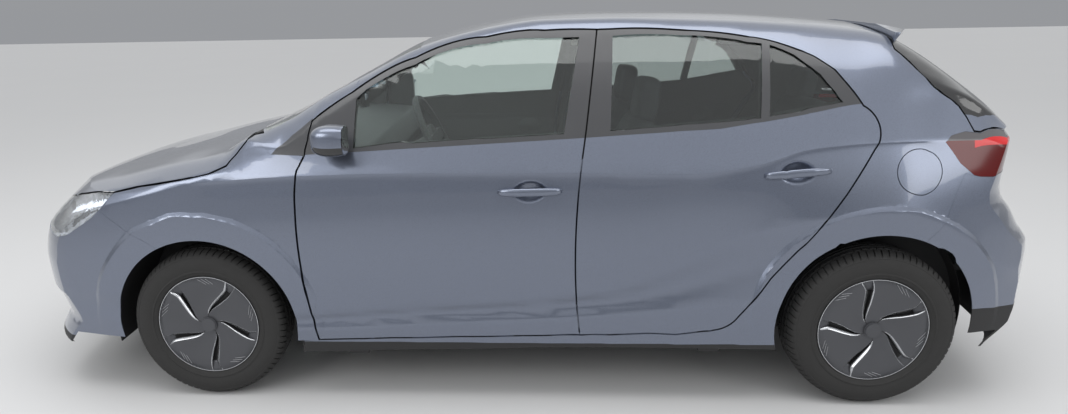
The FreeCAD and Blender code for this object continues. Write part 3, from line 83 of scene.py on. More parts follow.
# Levels of the nose and the tail in millimetres: height, and how far in from the car's end the outline runs
# on the middle plane and where the end turns into the corner.
NOSE_LEVELS = (
    (150, 63, 128), (206, 11, 75), (278, 38, 108), (301, 55, 124), (343, 43, 113), (401, 23, 91),
    (430, 5, 71), (549, 0, 63), (611, 2, 73), (680, 15, 98), (735, 38, 148), (800, 88, 233),
    (900, 223, 373), (1100, 500, 650),
)
TAIL_LEVELS = (
    (150, 140, 195), (240, 90, 145), (319, 25, 80), (384, 5, 71), (576, 0, 69), (625, 5, 74), (678, 40, 113),
    (739, 75, 149), (793, 115, 191), (838, 128, 202), (1005, 122, 193), (1047, 140, 219), (1100, 100, 170),
    (1600, 0, 60),
)
# Radius over which each line of a section is rounded, from the sill up to the crown of the roof.
LINE_ROUNDING = (8, 10, 40, 14, 400, 10, 24, 400, 90, 200, 400)
DOOR_SIDE_RADIUS = 1.75
SIDE_GLASS_RADIUS = 2.0
CROWN_SHARE = 0.45


def bulged(start, end, radius):
    """Point halfway along an arc from start to end that bulges away from the car's middle."""
    run_y, run_z = end[0] - start[0], end[1] - start[1]
    chord = math.hypot(run_y, run_z)
    sag = radius - math.sqrt(radius * radius - chord * chord / 4)
    return ((start[0] + end[0]) / 2 + sag * run_z / chord, (start[1] + end[1]) / 2 - sag * run_y / chord)


def section_ring(row):
    """Corners of one section, from the right sill over the roof to the left sill."""
    points = [(HALF_WIDTH - row[3] / 1000 - 0.012, row[2] / 1000)]
    for column in (3, 5, 7, 9, 11, 13, 15):
        points.append((HALF_WIDTH - row[column] / 1000, row[column + 1] / 1000))
    edge_y, edge_z = points[7]
    rise = row[17] / 1000 - edge_z
    right = points[:4] + [bulged(points[3], points[4], DOOR_SIDE_RADIUS)] + points[4:6]
    right += [bulged(points[5], points[6], SIDE_GLASS_RADIUS)] + points[6:]
    right.append((edge_y * CROWN_SHARE, edge_z + rise * (1 - CROWN_SHARE ** 2)))
    x = ANCHORS[row[0]] + row[1] / 1000
    return [(x, y, z) for y, z in right + [(-y, z) for y, z in reversed(right)]]


def arc_through(start, middle, end, steps):
    """Points along the circle through three points of one level plane, without the last one."""
    (ax, ay), (bx, by), (cx, cy) = start, middle, end
    d = 2 * (ax * (by - cy) + bx * (cy - ay) + cx * (ay - by))
    a2, b2, c2 = ax * ax + ay * ay, bx * bx + by * by, cx * cx + cy * cy
    ox = (a2 * (by - cy) + b2 * (cy - ay) + c2 * (ay - by)) / d
    oy = (a2 * (cx - bx) + b2 * (ax - cx) + c2 * (bx - ax)) / d
    first = math.atan2(ay - oy, ax - ox)
    turn_middle = (math.atan2(by - oy, bx - ox) - first) % math.tau
    turn_end = (math.atan2(cy - oy, cx - ox) - first) % math.tau
    if turn_end < turn_middle:
        turn_end -= math.tau
    radius = math.hypot(ax - ox, ay - oy)
    angles = [first + turn_end * i / steps for i in range(steps)]
    return [(ox + radius * math.cos(a), oy + radius * math.sin(a)) for a in angles]


def level_ring(level, line_y, corner, direction):
    """Plan outline of the nose or the tail at one height."""
    height, tip, line = (value / 1000 for value in level)
    outer = HALF_WIDTH + 0.002
    knee_y = line_y + 0.127

    def at(depth, y):
        return (direction * depth + (NOSE if direction > 0 else TAIL), y)

    reach, knee = line + corner[1], line + corner[0]
    ring = arc_through(at(reach, -outer), at(knee, -knee_y), at(line, -line_y), 4)
    ring += arc_through(at(line, -line_y), at(tip, 0), at(line, line_y), 6)
    ring += arc_through(at(line, line_y), at(knee, knee_y), at(reach, outer), 4)
    ring.append(at(reach, outer))
    return [(x, y, height) for x, y in ring]


class Skin:
    """The flat facets of the model's form, and the smooth surface that runs through the same corners."""

    def __init__(self, rings, rounding, outward):
        self.rings = np.array(rings)
        self.rounding = np.array(rounding) / 1000
        self.outward = outward
        axis = 2 if outward else 0
        places = self.rings[:, 0, axis]
        steps = np.diff(places)[:, None, None]
        secants = np.diff(self.rings, axis=0) / steps
        slopes = np.zeros_like(self.rings)
        before, after = secants[:-1], secants[1:]
        same = before * after > 0
        mean = 2 * before * after / np.where(same, before + after, 1)
        slopes[1:-1] = np.where(same, mean, 0)
        slopes[0], slopes[-1] = secants[0], secants[-1]
        slopes[:, :, axis] = 1
        self.slopes = slopes
        self.steps = np.diff(places)
        self.build_facets()

    def build_facets(self):
        stations, corners = self.rings.shape[:2]
        triangles, cells, shares = [], [], []
        for k in range(stations - 1):
            for j in range(corners - 1):
                quad = [(k, j), (k, j + 1), (k + 1, j + 1), (k + 1, j)]
                place = [self.rings[c] for c in quad]
                if np.linalg.norm(place[0] - place[2]) > np.linalg.norm(place[1] - place[3]):
                    quad = quad[1:] + quad[:1]
                for pick in ((0, 1, 2), (0, 2, 3)):
                    chosen = [quad[i] for i in pick]
                    triangles.append([a * corners + b for a, b in chosen])
                    cells.append((k, j))
                    shares.append([(a - k, b - j) for a, b in chosen])
        flat = self.rings.reshape(-1, 3)
        self.tree = BVHTree.FromPolygons([Vector(p) for p in flat], triangles)
        self.corners_of = flat[np.array(triangles)]
        self.cells = np.array(cells)
        self.shares = np.array(shares, dtype=float)

    def locate(self, points):
        """Nearest place on the facets: distance, point, section, share along, line, share across."""
        hits = [self.tree.find_nearest(Vector(p)) for p in points]
        place = np.array([tuple(hit[0]) for hit in hits])
        index = np.array([hit[2] for hit in hits])
        distance = np.array([hit[3] for hit in hits])
        a, b, c = (self.corners_of[index, i] for i in range(3))
        v0, v1, v2 = b - a, c - a, place - a
        d00, d01, d11 = (v0 * v0).sum(1), (v0 * v1).sum(1), (v1 * v1).sum(1)
        d20, d21 = (v2 * v0).sum(1), (v2 * v1).sum(1)
        scale = np.maximum(d00 * d11 - d01 * d01, 1e-18)
        second = (d11 * d20 - d01 * d21) / scale
        third = (d00 * d21 - d01 * d20) / scale
        weights = np.stack([1 - second - third, second, third], 1).clip(0, 1)
        share = (weights[:, :, None] * self.shares[index]).sum(1).clip(0, 1)
        return distance, place, self.cells[index, 0], share[:, 0], self.cells[index, 1], share[:, 1]

    def line(self, k, t, j):
        """Point of line j between sections k and k + 1."""
        step = self.steps[k][:, None]
        t = t[:, None]
        j = j.clip(0, self.rings.shape[1] - 1)
        p0, p1 = self.rings[k, j], self.rings[k + 1, j]
        m0, m1 = self.slopes[k, j] * step, self.slopes[k + 1, j] * step
        return ((2 * t ** 3 - 3 * t ** 2 + 1) * p0 + (t ** 3 - 2 * t ** 2 + t) * m0
                + (3 * t ** 2 - 2 * t ** 3) * p1 + (t ** 3 - t ** 2) * m1)

    def at(self, k, t, j, u):
        """Point of the smooth surface."""
        before, start, end, after = (self.line(k, t, j + shift) for shift in (-1, 0, 1, 2))
        length = np.linalg.norm(end - start, axis=1)
        length_before = np.linalg.norm(start - before, axis=1)
        length_after = np.linalg.norm(after - end, axis=1)
        run = u * length
        zone_start = np.minimum(np.minimum(self.rounding[j], 0.5 * length), 0.5 * length_before)
        zone_end = np.minimum(np.minimum(self.rounding[j + 1], 0.5 * length), 0.5 * length_after)
        point = start + (end - start) * u[:, None]
        for near_start in (True, False):
            corner = start if near_start else end
            zone = zone_start if near_start else zone_end
            gone = run if near_start else length - run
            inside = (gone < zone) & (zone > 1e-6)
            safe = np.maximum(zone, 1e-6)
            share = 0.5 + 0.5 * gone / safe if near_start else 0.5 - 0.5 * gone / safe
            share = share.clip(0, 1)[:, None]
            back, forth = (before, end) if near_start else (start, after)
            length_back = np.maximum(np.linalg.norm(back - corner, axis=1), 1e-6)
            length_forth = np.maximum(np.linalg.norm(forth - corner, axis=1), 1e-6)
            first = corner + (back - corner) * (safe / length_back)[:, None]
            last = corner + (forth - corner) * (safe / length_forth)[:, None]
            rounded = (1 - share) ** 2 * first + 2 * share * (1 - share) * corner + share ** 2 * last
            point = np.where(inside[:, None], rounded, point)
        return point

    def normal(self, k, t, j, u, place):
        """Outward direction of the smooth surface."""
        small = 0.02
        along = self.at(k, (t + small).clip(0, 1), j, u) - self.at(k, (t - small).clip(0, 1), j, u)
        across = self.at(k, t, j, (u + small).clip(0, 1)) - self.at(k, t, j, (u - small).clip(0, 1))
        result = np.cross(along, across)
        result /= np.maximum(np.linalg.norm(result, axis=1), 1e-12)[:, None]
        if self.outward:
            wrong = result[:, 0] * self.outward < 0
        else:
            wrong = result[:, 1] * place[:, 1] + result[:, 2] * (place[:, 2] - 0.6) < 0
        result[wrong] *= -1
        return result


BODY = Skin([section_ring(row) for row in SECTIONS], LINE_ROUNDING + LINE_ROUNDING[::-1], 0)
END_ROUNDING = (200,) * 15
NOSE_FORM = Skin([level_ring(level, 0.62, (0.085, 0.33), 1) for level in NOSE_LEVELS], END_ROUNDING, -1)
TAIL_FORM = Skin([level_ring(level, 0.60, (0.055, 0.26), -1) for level in TAIL_LEVELS], END_ROUNDING, 1)
NOSE_END = NOSE + 0.75
TAIL_START = TAIL - 0.62

# Pressings in the side of the body: wheel arches and the cups behind the door handles.
ARCHES = ((FRONT_AXLE, WHEEL_HEIGHT - 0.005), (REAR_AXLE, WHEEL_HEIGHT + 0.014))
ARCH_RADIUS = 0.366
LIP_WIDTH = 0.092
LIP_STEP = 0.016
LIP_HEIGHT = 0.009
HANDLES = {"front": (FRONT_AXLE + 1.279, 0.856), "rear": (REAR_AXLE - 0.332, 0.915)}
CUP_SIZE = (0.066, 0.042)
CUP_DEPTH = 0.017
# The crisp shoulder line along the side, from front wheel to tail lamp, with a shallow hollow below it.
SHOULDER = [(ANCHORS[row[0]] + row[1] / 1000, row[10] / 1000) for row in SECTIONS[4:22]]
SHOULDER_DEPTH = 0.0048
# Distance from the car's middle plane beyond which a place belongs to the body's side.
SIDE_Y = 0.7


def smooth_step(value, low, high):
    """0 below low, 1 above high, and an even change between them."""
    share = ((value - low) / (high - low)).clip(0, 1)
    return share * share * (3 - 2 * share)


def height_on(line, x):
    """Height at x of a line given by its points in the side view."""
    return np.interp(x, [point[0] for point in line], [point[1] for point in line])


def pressing(points):
    """How far the side's surface stands out at each point."""
    x, y, z = points[:, 0], np.abs(points[:, 1]), points[:, 2]
    height = np.zeros(len(points))
    for arch_x, arch_z in ARCHES:
        radius = np.hypot(x - arch_x, z - arch_z)
        angle = np.degrees(np.arctan2(np.abs(x - arch_x), z - arch_z))
        fade = 1 - smooth_step(angle, 62.0, 100.0)
        outer = ARCH_RADIUS + LIP_WIDTH
        rise = 0.55 + 0.45 * ((radius - ARCH_RADIUS) / LIP_WIDTH).clip(0, 1)
        rise = np.where(radius > outer, 1 - ((radius - outer) / LIP_STEP).clip(0, 1), rise)
        height = np.maximum(height, LIP_HEIGHT * fade * rise)
    for handle_x, handle_z in HANDLES.values():
        lean = 0.03 * (x - handle_x)
        reach = ((x - handle_x) / CUP_SIZE[0]) ** 2 + ((z - handle_z - lean) / CUP_SIZE[1]) ** 2
        height -= CUP_DEPTH * (1 - reach).clip(0, 1) ** 1.5
    drop = (height_on(SHOULDER, x) - z).clip(0, None)
    along = smooth_step(x, FRONT_AXLE - 0.08, FRONT_AXLE + 0.15)
    along = along * (1 - smooth_step(x, REAR_AXLE + 0.08, REAR_AXLE + 0.2))
    height -= SHOULDER_DEPTH * along * (1 - np.exp(-drop / 0.012)) * np.exp(-drop / 0.05)
    return height * smooth_step(y, SIDE_Y, SIDE_Y + 0.06) * (z > 0.2)


def skins_at(points):
    """The surfaces near each point, as (surface, rows of the points it may hold)."""
    every = np.arange(len(points))
    x = points[:, 0]
    return (BODY, every), (NOSE_FORM, every[x < NOSE_END]), (TAIL_FORM, every[x > TAIL_START])


def off_hinges(points):
    """0 at the hinge knuckles, which keep their exact places, and 1 away from them."""
    x, y, z = points[:, 0], np.abs(points[:, 1]), points[:, 2]
    away = np.full(len(points), 1.0)
    for pin_x, pin_y in ((FRONT_AXLE + 0.430, 0.880), (FRONT_AXLE + 1.481, 0.879)):
        away = np.minimum(away, np.hypot(x - pin_x, y - pin_y))
    for pin_x, pin_y, pin_z in ((FRONT_AXLE + 0.252, 0.712, 1.042), (REAR_AXLE + 0.012, 0.212, 1.408)):
        aside = (np.abs(y - pin_y) - 0.03).clip(0, None)
        away = np.minimum(away, np.hypot(x - pin_x, z - pin_z) + aside)
    return smooth_step(away, 0.012, 0.022)


def smoothed(points):
    """The points moved from the flat facets to the smooth surface; points deep inside stay where they are."""
    total = np.zeros_like(points)
    weight = np.zeros(len(points))
    depth = np.full(len(points), 1e9)
    for skin, rows in skins_at(points):
        if not len(rows):
            continue
        distance, place, k, t, j, u = skin.locate(points[rows])
        share = 1 / (distance + 0.003) ** 3
        total[rows] += (skin.at(k, t, j, u) - place) * share[:, None]
        weight[rows] += share
        depth[rows] = np.minimum(depth[rows], distance)
    near = (1 - smooth_step(depth, 0.010, 0.032)) * off_hinges(points)
    moved = points + total * (near / weight)[:, None]
    moved[:, 1] += np.sign(moved[:, 1]) * pressing(points) * near
    return moved


def surface_normals(points, inner):
    """Outward directions of the finished surface at points of the flat facets, and the points' depths.

    The pressings' slopes are taken at the inner points, well inside each facet.
    """
    best = np.full(len(points), 1e9)
    result = np.zeros_like(points)
    for skin, rows in skins_at(points):
        if not len(rows):
            continue
        distance, place, k, t, j, u = skin.locate(points[rows])
        found = skin.normal(k, t, j, u, place)
        nearer = distance < best[rows]
        result[rows[nearer]] = found[nearer]
        best[rows] = np.minimum(best[rows], distance)
    small = 0.0005
    for axis in (0, 2):
        shift = np.zeros(3)
        shift[axis] = small
        slope = (pressing(inner + shift) - pressing(inner - shift)) / (2 * small)
        result[:, axis] -= slope * np.abs(result[:, 1])
    return result / np.linalg.norm(result, axis=1)[:, None], best


# Belt line, where painted metal ends and the dark window surround begins, in metres.
BELT = [(FRONT_AXLE + x, z) for x, z in (
    (0.300, 0.980), (0.436, 0.991), (0.619, 1.000), (1.079, 1.023), (1.480, 1.043),
    (1.822, 1.063), (1.968, 1.071), (2.131, 1.093), (2.293, 1.120), (2.470, 1.148),
)]
# The dark corner of the pillar ahead of the front door's glass.
PILLAR_TRIANGLE = [(FRONT_AXLE + x, z) for x, z in (
    (0.300, 0.980), (0.385, 1.073), (0.462, 1.122), (0.480, 0.990),
)]


def new_object(name, mesh, body):
    """A shown piece that rides on a body."""
    piece = bpy.data.objects.new(name, mesh)
    bpy.context.scene.collection.objects.link(piece)
    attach(piece, body)
    return piece


def body_of(node):
    """Name of the body that holds a model node."""
    for body, nodes in frame["record"]["behaviour"]["bodies"].items():
        if node in nodes:
            return body
    raise KeyError(node)


def joined_copy(node):
    """A copy of a model node's mesh as one connected bmesh."""
    shape = bmesh.new()
    shape.from_mesh(frame["nodes"][node].data)
    bmesh.ops.remove_doubles(shape, verts=shape.verts, dist=2e-6)
    bmesh.ops.dissolve_degenerate(shape, dist=2e-6, edges=shape.edges)
    return shape


def cut_plane(shape, point, normal, faces=None):
    """Cut the faces along a plane."""
    if faces is None:
        geometry = shape.verts[:] + shape.edges[:] + shape.faces[:]
    else:
        edges = {edge for face in faces for edge in face.edges}
        verts = {vert for face in faces for vert in face.verts}
        geometry = list(verts) + list(edges) + list(faces)
    bmesh.ops.bisect_plane(shape, geom=geometry, dist=1e-5, plane_co=point, plane_no=normal)


def cut_grid(shape, steps):
    """Cut finer along evenly spaced planes; steps gives the spacing along each axis, or None."""
    for axis, step in enumerate(steps):
        if not step:
            continue
        values = [vert.co[axis] for vert in shape.verts]
        low, high = min(values), max(values)
        normal = Vector((axis == 0, axis == 1, axis == 2))
        for index in range(math.floor(low / step) + 1, math.ceil(high / step)):
            cut_plane(shape, normal * (index * step), normal)


def side_faces(shape, x0, x1, z0, z1, least_y=SIDE_Y):
    """The faces of the body's sides whose middles lie inside a rectangle of the side view."""
    middles = [(face, face.calc_center_median()) for face in shape.faces]
    return [face for face, middle in middles
            if x0 < middle.x < x1 and z0 < middle.z < z1 and abs(middle.y) > least_y]


def cut_patch(shape, x0, x1, z0, z1, step):
    """Cut the side's faces in a small rectangle to a fine grid."""
    around = 0.02
    for axis, low, high in ((0, x0, x1), (2, z0, z1)):
        normal = Vector((axis == 0, 0, axis == 2))
        count = int((high - low) / step)
        for index in range(count + 1):
            near = side_faces(shape, x0 - around, x1 + around, z0 - around, z1 + around)
            if near:
                cut_plane(shape, normal * (low + index * step), normal, near)


def faces_by_sector(shape, centre, low, high, turn, spread=0.0):
    """The side's faces between two radii around a point of the side view, by the sectors they may reach."""
    sectors = {}
    for face in shape.faces:
        middle = face.calc_center_median()
        dx, dz = middle.x - centre[0], middle.z - centre[1]
        away = math.hypot(dx, dz)
        if low < away < high and abs(middle.y) > SIDE_Y:
            angle, reach = math.atan2(dx, dz), spread / away
            first = math.floor((angle - reach) / turn)
            for index in range(first, math.floor((angle + reach) / turn) + 1):
                sectors.setdefault(index, []).append(face)
    return sectors


def cut_rings(shape, centre, radii, turn=math.radians(6)):
    """Cut the side's faces near a wheel arch along spokes, and between these along circles."""
    low, high = min(radii) - 0.05, max(radii) + 0.04
    origin = Vector((centre[0], 0, centre[1]))
    for index in range(-18, 19):
        near = faces_by_sector(shape, centre, low, high, turn, 0.05)
        angle = index * turn
        faces = list(dict.fromkeys(near.get(index - 1, []) + near.get(index, [])))
        if faces:
            cut_plane(shape, origin, Vector((math.cos(angle), 0, -math.sin(angle))), faces)
    for radius in radii:
        for index, faces in faces_by_sector(shape, centre, low, high, turn).items():
            middle = (index + 0.5) * turn
            normal = Vector((math.sin(middle), 0, math.cos(middle)))
            faces = [face for face in faces if face.is_valid]
            if faces and abs(middle) < 1.9:
                cut_plane(shape, origin + normal * radius * math.cos(turn / 2), normal, faces)


def cut_line(shape, points):
    """Cut the side's faces along a line of points in the side view."""
    for (x0, z0), (x1, z1) in zip(points, points[1:]):
        normal = Vector((z0 - z1, 0, x1 - x0)).normalized()
        level = (z0 + z1) / 2
        near = side_faces(shape, x0 - 0.05, x1 + 0.05, level - 0.12, level + 0.12, SIDE_Y - 0.1)
        if near:
            cut_plane(shape, Vector((x0, 0, z0)), normal, near)


def shoulder_cuts(shape):
    """Cut along the shoulder line and along lines below it, where the hollow needs them."""
    for drop in (0.0, 0.008, 0.020, 0.040, 0.070):
        cut_line(shape, [(x, z - drop) for x, z in SHOULDER])


def inside(point, corners):
    """Whether a point of the side view lies inside a polygon."""
    x, z = point
    result = False
    for (x0, z0), (x1, z1) in zip(corners, corners[1:] + corners[:1]):
        if (z0 > z) != (z1 > z) and x < (x1 - x0) * (z - z0) / (z1 - z0) + x0:
            result = not result
    return result


def panel(name, node, materials, choose, grid, finish_cuts=None):
    """A model node's panel on the smooth surface; choose gives each face's material from its place."""
    shape = joined_copy(node)
    cut_grid(shape, grid)
    if finish_cuts:
        finish_cuts(shape)
    bmesh.ops.triangulate(shape, faces=[f for f in shape.faces if len(f.verts) > 4])
    shape.verts.ensure_lookup_table()
    shape.faces.ensure_lookup_table()
    points = np.array([vert.co[:] for vert in shape.verts])
    loops = [(vert.index, face.index) for face in shape.faces for vert in face.verts]
    rows = np.array([pair[0] for pair in loops])
    owners = np.array([pair[1] for pair in loops])
    centres = np.array([face.calc_center_median()[:] for face in shape.faces])
    nudged, inner = (points[rows] * (1 - share) + centres[owners] * share for share in (0.04, 0.15))
    directions, depths = surface_normals(nudged, inner)
    facing = np.array([face.normal[:] for face in shape.faces])
    moved = smoothed(points)
    for arch_x, arch_z in ARCHES:
        radius = np.hypot(moved[:, 0] - arch_x, moved[:, 2] - arch_z)
        edge = (np.abs(radius - ARCH_RADIUS) < 0.007) & (np.abs(moved[:, 1]) > SIDE_Y)
        scale = np.where(edge, ARCH_RADIUS / np.maximum(radius, 0.01), 1)
        moved[:, 0] = arch_x + (moved[:, 0] - arch_x) * scale
        moved[:, 2] = arch_z + (moved[:, 2] - arch_z) * scale
    face_direction = np.zeros_like(facing)
    face_depth = np.zeros(len(facing))
    np.add.at(face_direction, owners, directions)
    np.maximum.at(face_depth, owners, depths)
    for index, face in enumerate(shape.faces):
        outward = float(np.dot(facing[index], face_direction[index]) / np.linalg.norm(face_direction[index]))
        face.material_index = choose(centres[index], outward, face_depth[index])
        face.smooth = True
    for vert, place in zip(shape.verts, moved):
        vert.co = place
    mesh = bpy.data.meshes.new(name)
    shape.normal_update()
    flat = np.array([face.normal[:] for face in shape.faces])[owners]
    agree = (flat * directions).sum(1)[:, None]
    chosen = np.where(agree > 0.8, directions, np.where(agree < -0.8, -directions, flat))
    shape.to_mesh(mesh)
    shape.free()
    for material in materials:
        mesh.materials.append(material)
    mesh.normals_split_custom_set([tuple(n) for n in chosen])
    piece = new_object(name, mesh, body_of(node))
    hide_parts(node)


def add_node(tree, kind, links=(), values=(), operation=None):
    """New node; links pairs its inputs with outputs of other nodes, values with fixed values."""
    node = tree.nodes.new(kind)
    if operation:
        node.operation = operation
    for socket, output in links:
        tree.links.new(output, node.inputs[socket])
    for socket, value in values:
        node.inputs[socket].default_value = value
    return node


def uneven_group():
    """Group that varies a colour and a roughness a little over the surface and gives a fine relief."""
    tree = bpy.data.node_groups.new("uneven_surface", "ShaderNodeTree")
    for way, labels in (("INPUT", ("Vector", "Color", "Scale", "Spread", "Roughness", "Grain")),
                        ("OUTPUT", ("Color", "Roughness", "Height"))):
        for label in labels:
            kind = label if label in ("Vector", "Color") else "Float"
            tree.interface.new_socket(label, in_out=way, socket_type="NodeSocket" + kind)
    given = tree.nodes.new("NodeGroupInput").outputs
    place = ("Vector", given["Vector"])
    broad, fine = (add_node(tree, "ShaderNodeTexNoise", (place, ("Scale", given[label])))
                   for label in ("Scale", "Grain"))
    centred = add_node(tree, "ShaderNodeMath", ((0, broad.outputs["Fac"]),), ((1, 0.5),), "SUBTRACT")
    spread = add_node(tree, "ShaderNodeMath", ((0, centred.outputs[0]), (1, given["Spread"])), ((2, 1.0),),
                      "MULTIPLY_ADD").outputs[0]
    tinted = add_node(tree, "ShaderNodeVectorMath", ((0, given["Color"]), ("Scale", spread)), (), "SCALE")
    rough = add_node(tree, "ShaderNodeMath", ((0, given["Roughness"]), (1, spread)), (), "MULTIPLY")
    add_node(tree, "NodeGroupOutput", (("Color", tinted.outputs[0]), ("Roughness", rough.outputs[0]),
                                       ("Height", fine.outputs["Fac"])))
    return tree


UNEVEN = uneven_group()


def material(name, color, roughness, metallic=0.0, scale=6.0, spread=0.12, grain=900.0, relief=0.0,
             coat=0.0, transmission=0.0, glow=0.0):
    """Procedural material; relief is the grain's height in millimetres."""
    result = bpy.data.materials.new(name)
    result.use_nodes = True
    color = (*color, 1)
    result.diffuse_color = color
    tree = result.node_tree
    tree.nodes.clear()
    place = tree.nodes.new("ShaderNodeTexCoord")
    group = tree.nodes.new("ShaderNodeGroup")
    group.node_tree = UNEVEN
    for socket, value in (("Color", color), ("Scale", scale), ("Spread", spread), ("Roughness", roughness),
                          ("Grain", grain)):
        group.inputs[socket].default_value = value
    tree.links.new(place.outputs["Object"], group.inputs["Vector"])
    uneven = group.outputs
    surface = add_node(
        tree, "ShaderNodeBsdfPrincipled",
        (("Base Color", uneven["Color"]), ("Roughness", uneven["Roughness"])),
        (("Metallic", metallic), ("Specular IOR Level", 0.5), ("Coat Weight", coat),
         ("Coat Roughness", 0.03), ("Transmission Weight", transmission)))
    if relief:
        bump = add_node(tree, "ShaderNodeBump", (("Height", uneven["Height"]),),
                        (("Distance", relief / 1000), ("Strength", 0.6)))
        tree.links.new(bump.outputs["Normal"], surface.inputs["Normal"])
    if glow:
        surface.inputs["Emission Color"].default_value = color
        surface.inputs["Emission Strength"].default_value = glow
    shown = surface
    if transmission:
        # Rays towards lamps pass straight through glass and lenses.
        rays = tree.nodes.new("ShaderNodeLightPath")
        clear = add_node(tree, "ShaderNodeBsdfTransparent", (), (("Color", color),))
        shown = add_node(tree, "ShaderNodeMixShader", ((0, rays.outputs["Is Shadow Ray"]),
                                                       (1, surface.outputs[0]), (2, clear.outputs[0])))
    add_node(tree, "ShaderNodeOutputMaterial", (("Surface", shown.outputs[0]),))
    return result


PAINT = material("metallic_paint", (0.165, 0.188, 0.246), 0.29, 0.85, scale=1100, spread=0.5, coat=1.0)
SURROUND = material("window_surround", (0.045, 0.046, 0.05), 0.3, coat=0.25)
TRIM = material("grained_trim", (0.018, 0.018, 0.019), 0.6, grain=1600, relief=0.12)
SEAL = material("rubber_seal", (0.008, 0.008, 0.008), 0.75)
LINING = material("door_lining", (0.04, 0.04, 0.043), 0.75, grain=1200, relief=0.15)
HEADLINER = material("headliner", (0.42, 0.41, 0.39), 0.95, grain=1500, relief=0.15)
GLASS = material("tinted_glass", (0.80, 0.88, 0.85), 0.0, transmission=1.0, spread=0.02)
PRIVACY_GLASS = material("rear_glass", (0.60, 0.66, 0.64), 0.0, transmission=1.0, spread=0.02)
LENS = material("clear_lens", (0.93, 0.95, 0.97), 0.01, transmission=1.0, spread=0.01)
RED_LENS = material("red_lens", (0.10, 0.003, 0.003), 0.10, spread=0.06)
GREY_LENS = material("smoked_lens", (0.10, 0.095, 0.10), 0.12, spread=0.06)
RUBBER = material("tyre_rubber", (0.022, 0.0215, 0.021), 0.78, grain=700, relief=0.2, scale=30, spread=0.3)
COVER = material("wheel_cover", (0.075, 0.077, 0.085), 0.38, 0.35, grain=900, relief=0.03)
SILVER = material("silver_chamfer", (0.55, 0.56, 0.58), 0.25, 0.9, spread=0.08)
CHROME = material("bright_reflector", (0.82, 0.83, 0.85), 0.12, 1.0, spread=0.05)
LIGHT_BAR = material("light_bar", (0.9, 0.93, 1.0), 0.3, glow=0.35)
CLOTH = material("seat_cloth", (0.045, 0.046, 0.052), 0.92, scale=40, spread=0.4, grain=1400, relief=0.35)
SOFT_PLASTIC = material("soft_plastic", (0.035, 0.035, 0.038), 0.55, grain=1300, relief=0.12)
SEALER = material("underbody_sealer", (0.05, 0.053, 0.058), 0.7, grain=500, relief=0.4, spread=0.3)
BLACK_STEEL = material("black_steel", (0.02, 0.02, 0.021), 0.42, 0.3, spread=0.25)
CAST = material("cast_metal", (0.13, 0.13, 0.135), 0.55, 0.85, grain=500, relief=0.3, spread=0.3)
ENGINE = material("engine_alloy", (0.23, 0.23, 0.23), 0.5, 0.8, grain=500, relief=0.3, spread=0.3)
STEEL = material("exhaust_steel", (0.35, 0.34, 0.32), 0.35, 0.9, spread=0.3)
CARPET = material("floor_carpet", (0.03, 0.03, 0.032), 0.98, scale=60, spread=0.5, grain=1500, relief=0.8)
GLOSS_BLACK = material("gloss_black", (0.012, 0.012, 0.013), 0.12, coat=0.6)
BRIGHT_RED = material("bright_red_lens", (0.55, 0.01, 0.012), 0.12, spread=0.06, glow=0.05)
LINE_GREY = material("cover_lines", (0.36, 0.365, 0.38), 0.35, 0.5)
PLATE = material("blank_plate", (0.72, 0.72, 0.70), 0.4)


# Heights below which the sills and the two bumpers are bare dark plastic, and above which the side frames
# are lined like the roof, the tailgate is black, and the tail lamps are smoked.
SILL_LINE = 0.248
DIFFUSER_LINE = 0.388
SPOILER_LINE = 0.232
HEADLINER_LINE = 1.30
BLACK_LINE = 1.095
SMOKED_LINE = 1.020
# The tail lamps' bright strip: its lower edge and where it starts along the car.
STRIP_BASE = 1.000
STRIP_START = REAR_AXLE + 0.29

# Each of these gives the place in a panel's list of materials for a face with its middle at centre, how far
# it faces outward (1 outward, -1 inward) and its depth under the outer surface.


def door_material(centre, outward, depth):
    """Paint, with the lining inside and the dark surround and its seal above the belt line."""
    if outward < -0.2 and depth > 0.02:
        return 2
    if centre[2] > height_on(BELT, centre[0]):
        return 1 if depth < 0.010 or outward > 0.5 else 3
    return 0


def frame_material(centre, outward, depth):
    """Paint, with linings inside, the seal in the door rebates and bare plastic along the sill."""
    x, z = centre[0], centre[2]
    rebate_start, rebate_end = 0.009, 0.02
    if outward < -0.2 and depth > 0.03:
        return 4 if z > HEADLINER_LINE else 2
    if rebate_start < depth < rebate_end and outward > 0.4:
        return 3
    if depth < rebate_start and inside((x, z), PILLAR_TRIANGLE):
        return 1
    return 5 if z < SILL_LINE else 0


def outer_only(skin):
    """The first material, and the second on faces below the skin that look inward."""
    return lambda centre, outward, depth: 1 if outward < -0.3 and depth > skin else 0


def bumper_material(dark_line):
    """As outer_only, with the third material below a height."""
    covered = outer_only(0.004)
    return lambda *face: covered(*face) or (2 if face[0][2] < dark_line else 0)


def tailgate_material(centre, outward, depth):
    """As outer_only, with the third material above a height."""
    skin = 0.02
    return outer_only(skin)(centre, outward, depth) or (2 if centre[2] > BLACK_LINE and depth < skin else 0)


def tail_lamp_material(centre, outward, depth):
    """A red lens with a bright strip, smoked above."""
    if centre[2] > SMOKED_LINE:
        return 1
    return 2 if centre[2] > STRIP_BASE and centre[0] > STRIP_START else 0


def all_first(centre, outward, depth):
    """The first material everywhere."""
    return 0


def arch_cuts(shape):
    """Cut along the lips of the wheel arches."""
    for centre in ARCHES:
        cut_rings(shape, centre, [ARCH_RADIUS + extra for extra in (
            0.012, LIP_WIDTH * 0.5, LIP_WIDTH - 0.006, LIP_WIDTH, LIP_WIDTH + 0.008, LIP_WIDTH + LIP_STEP)])


def side_cuts(shape):
    arch_cuts(shape)
    shoulder_cuts(shape)


def level_cut(shape, height):
    cut_plane(shape, Vector((0, 0, height)), Vector((0, 0, 1)))


